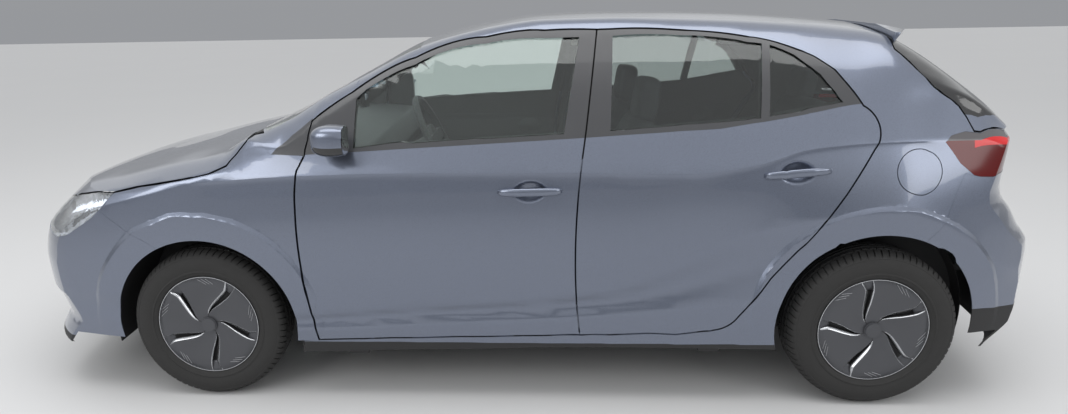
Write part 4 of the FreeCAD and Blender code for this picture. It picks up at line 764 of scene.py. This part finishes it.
def door_cuts(place):
    """Cuts of the front or the rear doors: belt line, side and the cup behind the handle."""
    half_x, half_z = 0.070, 0.046

    def cuts(shape):
        cut_line(shape, BELT)
        side_cuts(shape)
        x, z = HANDLES[place]
        cut_patch(shape, x - half_x, x + half_x, z - half_z, z + half_z, 0.007)
    return cuts


def bumper_cuts(height):
    def cuts(shape):
        arch_cuts(shape)
        level_cut(shape, height)
    return cuts


def frame_cuts(shape):
    side_cuts(shape)
    level_cut(shape, SILL_LINE)
    cut_line(shape, PILLAR_TRIANGLE + PILLAR_TRIANGLE[:1])


def lamp_cuts(shape):
    level_cut(shape, SMOKED_LINE)
    level_cut(shape, STRIP_BASE)
    cut_plane(shape, Vector((STRIP_START, 0, 0)), Vector((1, 0, 0)))


def tailgate_cuts(shape):
    level_cut(shape, BLACK_LINE)


# The painted and glazed panels: finishes, choice of finish, spacing of the mesh along each axis, and cuts.
for side in ("left", "right"):
    panel("fender_%s_skin" % side, "fender_" + side, (PAINT, SEALER), outer_only(0.004),
          (0.04, None, 0.04), side_cuts)
    panel("side_frame_%s_skin" % side, "side_frame_" + side, (PAINT, SURROUND, LINING, SEAL, HEADLINER, TRIM),
          frame_material, (0.05, None, 0.045), frame_cuts)
    for place, glass in (("front", GLASS), ("rear", PRIVACY_GLASS)):
        door = "%s_%s" % (place, side)
        panel("door_%s_skin" % door, "door_" + door, (PAINT, SURROUND, LINING, SEAL),
              door_material, (0.045, None, 0.04), door_cuts(place))
        panel("glass_%s_pane" % door, "glass_" + door, (glass,), all_first, (0.06, None, 0.06))
panel("roof_skin", "roof_panel", (PAINT, HEADLINER), outer_only(0.012), (0.07, 0.07, None))
panel("bonnet_skin", "bonnet", (PAINT, SEALER), outer_only(0.010), (0.04, 0.05, None))
for place, line in (("front", SPOILER_LINE), ("rear", DIFFUSER_LINE)):
    panel(place + "_bumper_skin", place + "_bumper", (PAINT, SEALER, TRIM), bumper_material(line),
          (0.04, 0.04, 0.035), bumper_cuts(line))
panel("windscreen_pane", "windscreen", (GLASS,), all_first, (0.06, 0.06, None))
panel("cowl_trim", "cowl_panel", (TRIM,), all_first, (0.04, 0.06, None))
panel("tailgate_skin", "tailgate", (PAINT, LINING, GLOSS_BLACK), tailgate_material, (0.04, 0.05, 0.04),
      tailgate_cuts)
panel("tailgate_pane", "tailgate_glass", (PRIVACY_GLASS,), all_first, (0.06, 0.06, 0.06))
panel("fuel_flap_skin", "fuel_flap", (PAINT, SEALER), outer_only(0.003), (0.03, None, 0.03))
for name, node in (("tail_lamp_lenses", "tail_lamps"), ("gate_lamp_lenses", "tailgate_lamps")):
    panel(name, node, (RED_LENS, GREY_LENS, BRIGHT_RED), tail_lamp_material, (0.02, 0.03, 0.015), lamp_cuts)


def finished(name, shape, body, finishes, sharp=35.0):
    """A shown piece from a bmesh, smooth except at edges sharper than an angle in degrees."""
    bmesh.ops.recalc_face_normals(shape, faces=shape.faces)
    mesh = bpy.data.meshes.new(name)
    for face in shape.faces:
        face.smooth = True
    shape.to_mesh(mesh)
    shape.free()
    for finish in finishes:
        mesh.materials.append(finish)
    mesh.set_sharp_from_angle(angle=math.radians(sharp))
    return new_object(name, mesh, body)


def grid_mesh(shape, rows, wrap=False, close=False, material_index=0):
    """Quads over rows of points; wrap joins each row's ends, close the first row to the last."""
    verts = [[shape.verts.new(point) for point in row] for row in rows]
    for row, following in zip(verts, verts[1:] + (verts[:1] if close else [])):
        count = len(row)
        for index in range(count if wrap else count - 1):
            step = (index + 1) % count
            face = shape.faces.new((row[index], row[step], following[step], following[index]))
            face.material_index = material_index
    return verts


def cap_ends(shape, verts):
    """Close a closed-round grid at its first and last row."""
    for row in (verts[0], verts[-1]):
        shape.faces.new(row)


def rounded_edges(shape, edges, width):
    """Round edges in two steps, and give the new faces."""
    return bmesh.ops.bevel(shape, geom=edges, offset=width, offset_type="OFFSET", segments=2, profile=0.5,
                           affect="EDGES", clamp_overlap=True, material=-1)["faces"]


def block(shape, centre, size, rounding, turn=Matrix(), material_index=0):
    """Box given by its centre and full size, with rounded edges."""
    matrix = Matrix.Translation(centre) @ turn @ Matrix.Diagonal((*size, 1))
    made = bmesh.ops.create_cube(shape, size=1, matrix=matrix)
    faces = {face for vert in made["verts"] for face in vert.link_faces}
    faces |= set(rounded_edges(shape, list({edge for face in faces for edge in face.edges}), rounding))
    for face in faces:
        if face.is_valid:
            face.material_index = material_index


def round_bar(shape, points, radius, sides=12, material_index=0):
    """Round bar through points, with flat ends."""
    rows = []
    for index, point in enumerate(points):
        before, after = points[max(index - 1, 0)], points[min(index + 1, len(points) - 1)]
        along = (Vector(after) - Vector(before)).normalized()
        across = (across - along * across.dot(along) if rows else along.orthogonal()).normalized()
        other = along.cross(across)
        rows.append([Vector(point) + radius * (math.cos(a) * across + math.sin(a) * other)
                     for a in (math.tau * i / sides for i in range(sides))])
    verts = grid_mesh(shape, rows, wrap=True, material_index=material_index)
    cap_ends(shape, verts)


def rounded_copy(node, finish, width):
    """A model node with its sharp edges rounded."""
    shape = joined_copy(node)
    sharp = math.radians(25)
    edges = [edge for edge in shape.edges if len(edge.link_faces) == 2 and edge.calc_face_angle(0.0) > sharp]
    rounded_edges(shape, edges, width)
    piece = finished(node + "_shaped", shape, body_of(node), (finish,))
    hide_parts(node)


# Nodes shown with rounded edges, and nodes shown as they are.
for node, finish, width in (
    ("front_structure", SEALER, 0.004), ("front_subframe", BLACK_STEEL, 0.004),
    ("engine_block", ENGINE, 0.006), ("fuel_tank", TRIM, 0.008), ("lower_grille", TRIM, 0.0012),
    ("instrument_panel", SOFT_PLASTIC, 0.012), ("centre_console", SOFT_PLASTIC, 0.006),
    ("tailgate_spoiler", PAINT, 0.004), ("knuckle_left", CAST, 0.0015), ("knuckle_right", CAST, 0.0015),
):
    rounded_copy(node, finish, width)
for node, finish in (
    ("floor_pan", CARPET), ("rear_axle_beam", BLACK_STEEL), ("exhaust", STEEL), ("front_arch_liners", TRIM),
    ("rear_arch_liners", TRIM), ("steering_wheel", SOFT_PLASTIC), ("front_struts", BLACK_STEEL),
):
    frame["nodes"][node].data.materials.clear()
    frame["nodes"][node].data.materials.append(finish)

# Half of a tyre's section from the bead to the middle of the tread: radius, distance from the middle
# plane, and how deep the shoulder and centre grooves reach there, in millimetres.
TYRE_SECTION = (
    (203.5, 80, 0, 0), (208, 86.5, 0, 0), (215, 90.5, 0, 0), (221, 92.5, 0, 0), (223, 95.2, 0, 0),
    (227.5, 95.6, 0, 0), (230, 93.9, 0, 0), (240, 96.3, 0, 0), (252, 97.2, 0, 0), (264, 96.4, 0, 0),
    (275, 93.8, 0, 0), (282.5, 90.4, 0, 0), (284, 91.2, 0, 0), (287, 90.0, 0, 0), (293, 85.5, 2, 0),
    (299, 79, 5, 0), (303.5, 70.5, 6, 0), (306.5, 62, 6, 0), (308.4, 52, 6, 0), (308.8, 46.5, 6, 0),
    (301.2, 45.5, 0, 0), (301.2, 37.5, 0, 0), (309.2, 36.5, 0, 4), (309.8, 28, 0, 4), (310, 16.5, 0, 4),
    (302.5, 15.5, 0, 0), (302.5, 7.5, 0, 0), (310.2, 6.5, 0, 0), (310.5, 0, 0, 0),
)
TREAD_PITCHES = 72
# Steps along one pitch of the tread: share of the pitch, and whether the shoulder and centre grooves are cut.
TREAD_STEPS = (
    (0.0, 0, 0), (0.30, 0, 0), (0.32, 0, 1), (0.42, 0, 1), (0.44, 0, 0), (0.80, 0, 0), (0.82, 1, 0),
    (0.97, 1, 0),
)
HALF_TRACK = 0.7745


def tyre(place, axle_x, side):
    """Tyre with long grooves, and cross grooves that lag behind on the inner half."""
    section = TYRE_SECTION + tuple((r, -w, s, c) for r, w, s, c in TYRE_SECTION[-2::-1])
    rows = []
    for pitch in range(TREAD_PITCHES):
        for share, shoulder, centre in TREAD_STEPS:
            row = []
            for r, w, deep_shoulder, deep_centre in section:
                lag = 0.5 if w < 0 else 0.0
                angle = math.tau * (pitch + share + lag) / TREAD_PITCHES + abs(w) * 0.0007
                radius = (r - shoulder * deep_shoulder - centre * deep_centre) / 1000
                row.append((axle_x + radius * math.cos(angle), side * HALF_TRACK + w / 1000,
                            WHEEL_HEIGHT + radius * math.sin(angle)))
            rows.append(row)
    shape = bmesh.new()
    grid_mesh(shape, rows, wrap=True, close=True)
    piece = finished("tyre_%s_tread" % place, shape, "wheel_" + place, (RUBBER,), 40.0)
    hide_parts("tyre_" + place)


# How far the cover's face stands out from the wheel's middle plane at these radii.
COVER_RADII = (0.028, 0.179, 0.2025)
COVER_OUTS = (0.078, 0.088, 0.084)
# The cover's five slots: their angles in degrees, and the angle from one to the next.
SLOT_ANGLES = (126, 54, -18, -90, -162)
SLOT_PITCH = 72
# Radii at which the slots' dark floor and the cover itself end.
SLOT_END = 0.161
COVER_END = 0.1985
# Rows of the cover from hub to rim: radius, the slot's two edges in degrees from its angle, how deep the
# slot is, and how wide the chamfer along its leading edge is, in metres.
COVER_ROWS = (
    (0.028, 38, 34, 0, 0), (0.040, 37, 33, 0, 0), (0.045, 37, 32, 0, 0), (0.050, 36, 27, 0.022, 0.003),
    (0.060, 34, 21, 0.025, 0.005), (0.070, 30, 15, 0.025, 0.007), (0.080, 26.5, 10, 0.025, 0.009),
    (0.0925, 22, 6, 0.025, 0.010), (0.105, 18.5, 2.5, 0.025, 0.0105), (0.1175, 15.5, 0.5, 0.025, 0.0105),
    (0.130, 13, -1, 0.025, 0.0105), (0.140, 11.3, -2, 0.025, 0.0105), (0.150, 10, -2.5, 0.025, 0.0105),
    (0.159, 9, -3, 0.025, 0.010), (0.161, 8.8, -3, 0.014, 0.010), (0.168, 8.5, -3, 0.0125, 0.009),
    (0.176, 9, -2.8, 0.010, 0.008), (0.185, 9.5, -2.5, 0.007, 0.007), (0.193, 10.2, -2.2, 0.003, 0.005),
    (0.1985, 10.5, -2, 0.0012, 0.003), (0.2012, 10.5, -2, 0, 0),
)
BLADE_STEPS = 7


def on_cover(hub, side, degrees, radius, sunk):
    """Point at an angle and a radius of the wheel cover, sunk below its face."""
    out = float(np.interp(radius, COVER_RADII, COVER_OUTS)) - sunk
    angle = math.radians(degrees)
    return hub.x + radius * math.cos(angle), hub.y + side * out, hub.z - side * radius * math.sin(angle)


def cover_face(shape, hub, side, slot_angles):
    """The cover's five blades and the sunk slots between them, as one sheet of rings."""
    rows = []
    for r, lead, trail, depth, chamfer in COVER_ROWS:
        inner = math.degrees(chamfer / r)
        back = math.degrees(chamfer * 0.4 / r)
        sink = min(depth, chamfer * 0.55)
        across = [(lead, 0.0), (lead - inner, sink), (lead - inner, depth), (trail + back, depth),
                  (trail + back, min(depth, sink * 0.6)), (trail, 0.0)]
        blade = SLOT_PITCH - (lead - trail)
        hollow = 0.003 * min(1, (r - COVER_RADII[0]) / 0.05)
        for step in range(1, BLADE_STEPS):
            share = step / BLADE_STEPS
            across.append((trail - blade * share, hollow * math.sin(math.pi * share)))
        rows.append([on_cover(hub, side, base + turn, r, sunk) for base in slot_angles
                     for turn, sunk in across])
    count = len(rows[0]) // len(slot_angles)
    verts = [[shape.verts.new(point) for point in row] for row in rows]
    for index, (row, following) in enumerate(zip(verts, verts[1:])):
        for place in range(len(row)):
            step = (place + 1) % len(row)
            made = shape.faces.new((row[place], row[step], following[step], following[place]))
            column = place % count
            if column in (0, 4):
                made.material_index = 1
            elif column in (1, 2, 3) and COVER_ROWS[index][0] < SLOT_END:
                made.material_index = 3
    bmesh.ops.remove_doubles(shape, verts=[vert for row in verts for vert in row], dist=1e-6)


def wheel(place, axle_x, side, slot_angles):
    """The cover with bright chamfers along its slots, a cap, a bright ring and fine lines near the rim."""
    node = "wheel_" + place
    hub = Vector((axle_x, side * HALF_TRACK, WHEEL_HEIGHT))
    shape = joined_copy(node)
    old = []
    for face in shape.faces:
        middle = face.calc_center_median() - hub
        if math.hypot(middle.x, middle.z) < COVER_END and middle.y * side > 0.055:
            old.append(face)
    bmesh.ops.delete(shape, geom=old, context="FACES")
    cover_face(shape, hub, side, slot_angles)
    face_y = hub.y + side * COVER_OUTS[-1]
    ring_radius, ring_width, ring_steps = 0.2015, 0.0016, 96
    profile = [(ring_width * share, height) for share, height in (
        (-1, -0.002), (-0.6, 0.0026), (0.6, 0.0026), (1, -0.002))]
    rows = []
    for step in range(ring_steps):
        angle = math.tau * step / ring_steps
        rows.append([(hub.x + (ring_radius + u) * math.cos(angle), face_y + side * v,
                      hub.z + (ring_radius + u) * math.sin(angle)) for u, v in profile])
    grid_mesh(shape, rows, wrap=True, close=True, material_index=1)
    lie = Matrix.Rotation(math.radians(90), 4, "X")
    for radius, sunk in ((0.0315, 0.004), (0.0275, 0.001)):
        bmesh.ops.create_cone(shape, cap_ends=True, segments=40, radius1=radius, radius2=radius, depth=0.012,
                              matrix=Matrix.Translation((hub.x, face_y - side * sunk, hub.z)) @ lie)
    for base in slot_angles:
        for line in range(3):
            ends = ((44 - 5 * line, 0.1935), (33 - 4.5 * line, 0.172 + 0.002 * line))
            points = [on_cover(hub, side, base + turn, radius, 0.0014) for turn, radius in ends]
            round_bar(shape, points, 0.0009, 6, 2)
    piece = finished(node + "_cover", shape, "wheel_" + place, (COVER, SILVER, LINE_GREY, TRIM), 28.0)
    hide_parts(node)


# The rear wheels stand a little further round than the front ones.
for end, axle_x, turned in (("front", FRONT_AXLE, 0), ("rear", REAR_AXLE, -28)):
    for side_name, side in (("left", -1), ("right", 1)):
        tyre("%s_%s" % (end, side_name), axle_x, side)
        wheel("%s_%s" % (end, side_name), axle_x, side, [angle + turned for angle in SLOT_ANGLES])


def side_point(x, z, side):
    """Point and outward direction of the finished body side at a place in the side view."""
    start = np.array([[x, side * 0.95, z]])
    for _ in range(4):
        _, place, k, t, j, u = BODY.locate(start)
        found = BODY.at(k, t, j, u)
        start[0, 0] += x - found[0, 0]
        start[0, 2] += z - found[0, 2]
    direction = BODY.normal(k, t, j, u, place)[0]
    return Vector(found[0]), Vector(direction)


def door_handle(place, side_name, side):
    """Pull handle: a bowed bar that stands over its cup."""
    x0, z0 = HANDLES[place]
    slope = 0.02 if place == "front" else 0.06
    half_length = 0.118
    steps, sides = 24, 16
    rows = []
    for index in range(steps + 1):
        s = -1 + 2 * index / steps
        spot, direction = side_point(x0 + half_length * s, z0 + slope * half_length * s, side)
        proud = 0.002 + 0.016 * math.sqrt(max(1 - s * s, 0.0))
        tall = 0.0155 * (1 - 0.35 * abs(s) ** 3)
        thick = 0.010 * (1 - 0.55 * abs(s) ** 6)
        if abs(s) > 0.96:
            tall, thick = tall * 0.7, thick * 0.7
        centre = spot + direction * proud
        row = []
        for step in range(sides):
            angle = math.tau * step / sides
            out, rise = math.cos(angle), math.sin(angle)
            flat = math.copysign(abs(out) ** 0.7, out)
            row.append(centre + direction * thick * flat + Vector((0, 0, tall * rise)))
        rows.append(row)
    shape = bmesh.new()
    cap_ends(shape, grid_mesh(shape, rows, wrap=True))
    door = "%s_%s" % (place, side_name)
    finished("door_handle_" + door, shape, "door_" + door, (PAINT,), 50.0)


def rounded_cube(shape, cuts, power):
    """Add a cut-up cube; gives each corner with its place on a rounded cube that spans -1 to 1."""
    bmesh.ops.create_cube(shape, size=2)
    bmesh.ops.subdivide_edges(shape, edges=shape.edges, cuts=cuts, use_grid_fill=True)
    for vert in shape.verts:
        p = vert.co.copy()
        yield vert, p * (abs(p.x) ** power + abs(p.y) ** power + abs(p.z) ** power) ** (-1 / power)


def door_mirror(side_name, side):
    """Mirror head with a painted cap, a dark lower half and foot, and the glass behind."""
    centre = Vector((FRONT_AXLE + 0.560, side * 0.918, 1.057))
    half = (0.068, 0.066, 0.056)
    cap_end = 0.62
    shape = bmesh.new()
    for vert, p in rounded_cube(shape, 11, 3.4):
        narrow = 1 - 0.16 * max(-p.x, 0) ** 1.5
        x = p.x if p.x <= cap_end else 0.80 + 0.06 * (p.x - cap_end) / (1 - cap_end)
        vert.co = centre + Vector((half[0] * x, half[1] * p.y * narrow, half[2] * p.z * narrow))
    for face in shape.faces:
        spot = face.calc_center_median() - centre
        if spot.x > half[0] * 0.79:
            inner = (spot.y / half[1]) ** 4 + (spot.z / half[2]) ** 4 < 0.42
            face.material_index = 2 if inner else 1
        elif spot.z < -0.018:
            face.material_index = 1
    block(shape, (FRONT_AXLE + 0.545, side * 0.845, 1.031), (0.090, 0.085, 0.030), 0.008, material_index=1)
    piece = finished("mirror_%s_head" % side_name, shape, "door_front_" + side_name,
                     (PAINT, GLOSS_BLACK, CHROME), 45.0)
    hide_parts("mirror_" + side_name)


for side_name, side in (("left", -1), ("right", 1)):
    door_mirror(side_name, side)
    for place in ("front", "rear"):
        door_handle(place, side_name, side)


# Upper edge of the headlamps in the side view, from which their light bar and bracket are measured.
LAMP_TOP_LINE = ((NOSE + 0.133, 0.757), (FRONT_AXLE - 0.537, 0.812), (FRONT_AXLE - 0.413, 0.841))
LIGHT_BAR_BAND = (0.010, 0.024)
BRACKET_TOP = 0.036


def headlamps():
    """Clear lenses over a dark housing with a silver bracket and a light bar."""
    shape = joined_copy("headlamps")
    cut_grid(shape, (0.012, 0.012, 0.008))
    centres = np.array([face.calc_center_median()[:] for face in shape.faces])
    directions, depths = surface_normals(centres, centres)
    facing = np.array([face.normal[:] for face in shape.faces])
    outward = (facing * directions).sum(1)
    unwanted = [face for face, o, d in zip(shape.faces, outward, depths) if o < 0.5 or d > 0.008]
    bmesh.ops.delete(shape, geom=unwanted, context="FACES")
    bmesh.ops.triangulate(shape, faces=[face for face in shape.faces if len(face.verts) > 4])
    shape.verts.ensure_lookup_table()
    shape.verts.index_update()
    points = np.array([vert.co[:] for vert in shape.verts])
    normals, _ = surface_normals(points, points)
    places = smoothed(points)
    edge = np.array([vert.is_boundary for vert in shape.verts])
    away = np.array([np.linalg.norm(points[edge] - point, axis=1).min() for point in points])
    faces = [[vert.index for vert in face.verts] for face in shape.faces]
    rims = [[vert.index for vert in rim.verts] for rim in shape.edges if rim.is_boundary]
    shape.free()
    bowl = 0.007 + 0.040 * (away / 0.028).clip(0, 1) ** 0.7
    for name, depth, thickness, finishes in (
        ("headlamp_lenses", np.zeros(len(points)), 0.0025, (LENS,)),
        ("headlamp_housings", bowl, 0.003, (GLOSS_BLACK, SILVER, LIGHT_BAR)),
    ):
        outer = places - normals * depth[:, None]
        inner = outer - normals * thickness
        made = bmesh.new()
        front = [made.verts.new(p) for p in outer]
        back = [made.verts.new(p) for p in inner]
        for face in faces:
            new_face = made.faces.new([front[i] for i in face])
            made.faces.new([back[i] for i in reversed(face)])
            if len(finishes) == 1:
                continue
            x, _, z = points[face].mean(0)
            under = height_on(LAMP_TOP_LINE, x) - z
            strut_x = -1.868 + 0.5 * under
            bracket_base = 0.125 - 0.2 * (x + 1.92)
            if LIGHT_BAR_BAND[0] < under < LIGHT_BAR_BAND[1]:
                new_face.material_index = 2
            elif under < BRACKET_TOP or abs(x - strut_x) < 0.018 or under > bracket_base:
                new_face.material_index = 1
        for a, b in rims:
            made.faces.new((front[a], front[b], back[b], back[a]))
        piece = finished(name, made, "root", finishes, 60.0)
        if name == "headlamp_lenses":
            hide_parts("headlamps")


headlamps()


def cushion(name, centre, size, lean, seams, across=()):
    """Stuffed cushion with a crowned face, rounded corners and drawn-in seams.

    It leans back by an angle in degrees; seams and across place the seams as shares of its half size.
    """
    shape = bmesh.new()
    turn = Matrix.Rotation(math.radians(lean), 3, "Y")
    for vert, q in rounded_cube(shape, 19, 5.0):
        draw = 0.0
        for seam in seams:
            draw += 0.009 * math.exp(-((abs(q.y) - seam) / 0.035) ** 2)
        for seam in across:
            along = q.z if size[2] > size[0] else q.x
            draw += 0.008 * math.exp(-((along - seam) / 0.04) ** 2) * (abs(q.y) < 0.6)
        crown = 1 + 0.05 * (1 - q.y * q.y)
        local = Vector((size[0] / 2 * q.x, size[1] / 2 * q.y, size[2] / 2 * q.z))
        local -= local.normalized() * draw
        local *= crown / 1.05
        vert.co = Vector(centre) + turn @ local
    piece = finished(name, shape, "root", (CLOTH,), 60.0)
    return piece


def seats():
    """Two front seats on their frames, and the rear bench."""
    for side_name, side in (("left", -1), ("right", 1)):
        seat = "seat_%s_" % side_name
        y = side * 0.350
        base = cushion(seat + "base", (FRONT_AXLE + 1.320, y, 0.450), (0.520, 0.500, 0.195), -3.0,
                       (0.6,), (0.1,))
        cushion(seat + "rest", (FRONT_AXLE + 1.653, y, 0.761), (0.128, 0.480, 0.630), 18.0,
                (0.6,), (-0.2, 0.35))
        cushion(seat + "head", (FRONT_AXLE + 1.761, y, 1.128), (0.092, 0.262, 0.180), 8.0, ())
        shape = bmesh.new()
        for bar_y in (y - 0.06, y + 0.06):
            round_bar(shape, [(FRONT_AXLE + 1.735, bar_y, 0.98), (FRONT_AXLE + 1.758, bar_y, 1.10)],
                      0.006, 10, 1)
        block(shape, (FRONT_AXLE + 1.320, y, 0.30), (0.40, 0.40, 0.12), 0.01)
        finished(seat + "frame", shape, "root", (SOFT_PLASTIC, SILVER))
        if side < 0:
            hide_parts("front_seats")
    bench = cushion("bench_base", (REAR_AXLE - 0.370, 0, 0.482), (0.452, 1.200, 0.165), -3.0,
                    (0.0, 0.62), (0.2,))
    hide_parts("rear_seat")
    cushion("bench_back", (REAR_AXLE - 0.018, 0, 0.800), (0.128, 1.180, 0.550), 16.0, (0.0, 0.62), (0.3,))
    for side_name, side in (("left", -1), ("right", 1)):
        cushion("bench_head_" + side_name, (REAR_AXLE + 0.056, side * 0.340, 1.110), (0.082, 0.240, 0.160),
                8.0, ())


seats()


# Blank number plates on the nose and the tailgate: name, body, place and lean in degrees.
for name, body, centre, lean in (
    ("front_plate", "root", (NOSE + 0.002, 0, 0.520), 0),
    ("rear_plate", "tailgate", (TAIL - 0.122, 0, 0.860), -8),
):
    shape = bmesh.new()
    block(shape, centre, (0.006, 0.520, 0.110), 0.001, Matrix.Rotation(math.radians(lean), 4, "Y"))
    finished(name, shape, body, (PLATE,))


def camera():
    """The photograph's viewpoint, from a fit of the car's known points."""
    yaw, pitch, roll = -0.0719, 0.2822, -0.0199
    place = (0.0543, -3.6479, 1.5071)
    forward = Vector((math.sin(yaw) * math.cos(pitch), math.cos(yaw) * math.cos(pitch), -math.sin(pitch)))
    level = Vector((math.cos(yaw), -math.sin(yaw), 0))
    upward = level.cross(forward)
    right = math.cos(roll) * level + math.sin(roll) * upward
    up = math.cos(roll) * upward - math.sin(roll) * level
    data = bpy.data.cameras.new("viewpoint")
    data.sensor_width = 36
    data.lens = 26.07
    data.shift_x = 0.0557
    data.shift_y = 0.0234
    data.clip_start = 0.05
    eye = bpy.data.objects.new("viewpoint", data)
    turn = Matrix((right, up, -forward)).transposed().to_4x4()
    eye.matrix_world = Matrix.Translation(place) @ turn
    bpy.context.scene.collection.objects.link(eye)
    bpy.context.scene.camera = eye


def lamp(name, place, target, size, power):
    """Soft lamp: a lit rectangle of a size that faces a target."""
    data = bpy.data.lights.new(name, "AREA")
    data.shape = "RECTANGLE"
    data.size, data.size_y = size
    data.energy = power
    source = bpy.data.objects.new(name, data)
    direction = Vector(target) - Vector(place)
    source.matrix_world = Matrix.Translation(place) @ direction.to_track_quat("-Z", "Y").to_matrix().to_4x4()
    bpy.context.scene.collection.objects.link(source)


def surroundings():
    """Pale floor, soft lamps and an evenly lit room that is a little brighter overhead."""
    mesh = bpy.data.meshes.new("floor")
    far = 40.0
    mesh.from_pydata([(-far, -far, 0), (far, -far, 0), (far, far, 0), (-far, far, 0)], [], [(0, 1, 2, 3)])
    mesh.materials.append(material("pale_floor", (0.62, 0.62, 0.62), 0.7, scale=0.5, spread=0.03))
    floor = bpy.data.objects.new("floor", mesh)
    bpy.context.scene.collection.objects.link(floor)
    lamp("overhead", (0, -1.0, 5.5), (0, 0, 0.5), (7.0, 3.5), 170)
    lamp("front_side", (-4.5, -5.5, 3.5), (-0.5, 0, 0.5), (4.0, 2.5), 110)
    lamp("rear_side", (5.5, -4.5, 3.0), (0.8, 0, 0.6), (3.0, 2.5), 60)
    world = bpy.data.worlds.new("room")
    world.use_nodes = True
    bpy.context.scene.world = world
    tree = world.node_tree
    tree.nodes.clear()
    place = tree.nodes.new("ShaderNodeTexCoord")
    split = add_node(tree, "ShaderNodeSeparateXYZ", ((0, place.outputs["Generated"]),))
    ramp = add_node(tree, "ShaderNodeValToRGB", ((0, split.outputs["Z"]),))
    stops = ramp.color_ramp.elements
    stops[0].position = 0.0
    stops[0].color = (0.36, 0.37, 0.39, 1)
    stops[1].position = 0.8
    stops[1].color = (0.97, 0.98, 1.0, 1)
    for position, level in ((0.10, 0.40), (0.22, 0.92), (0.45, 0.97)):
        stops.new(position).color = (level * 0.97, level * 0.985, level, 1)
    back = add_node(tree, "ShaderNodeBackground", (("Color", ramp.outputs[0]),), (("Strength", 0.85),))
    add_node(tree, "ShaderNodeOutputWorld", (("Surface", back.outputs[0]),))


camera()
surroundings()
bpy.context.scene.view_settings.view_transform = "Standard"
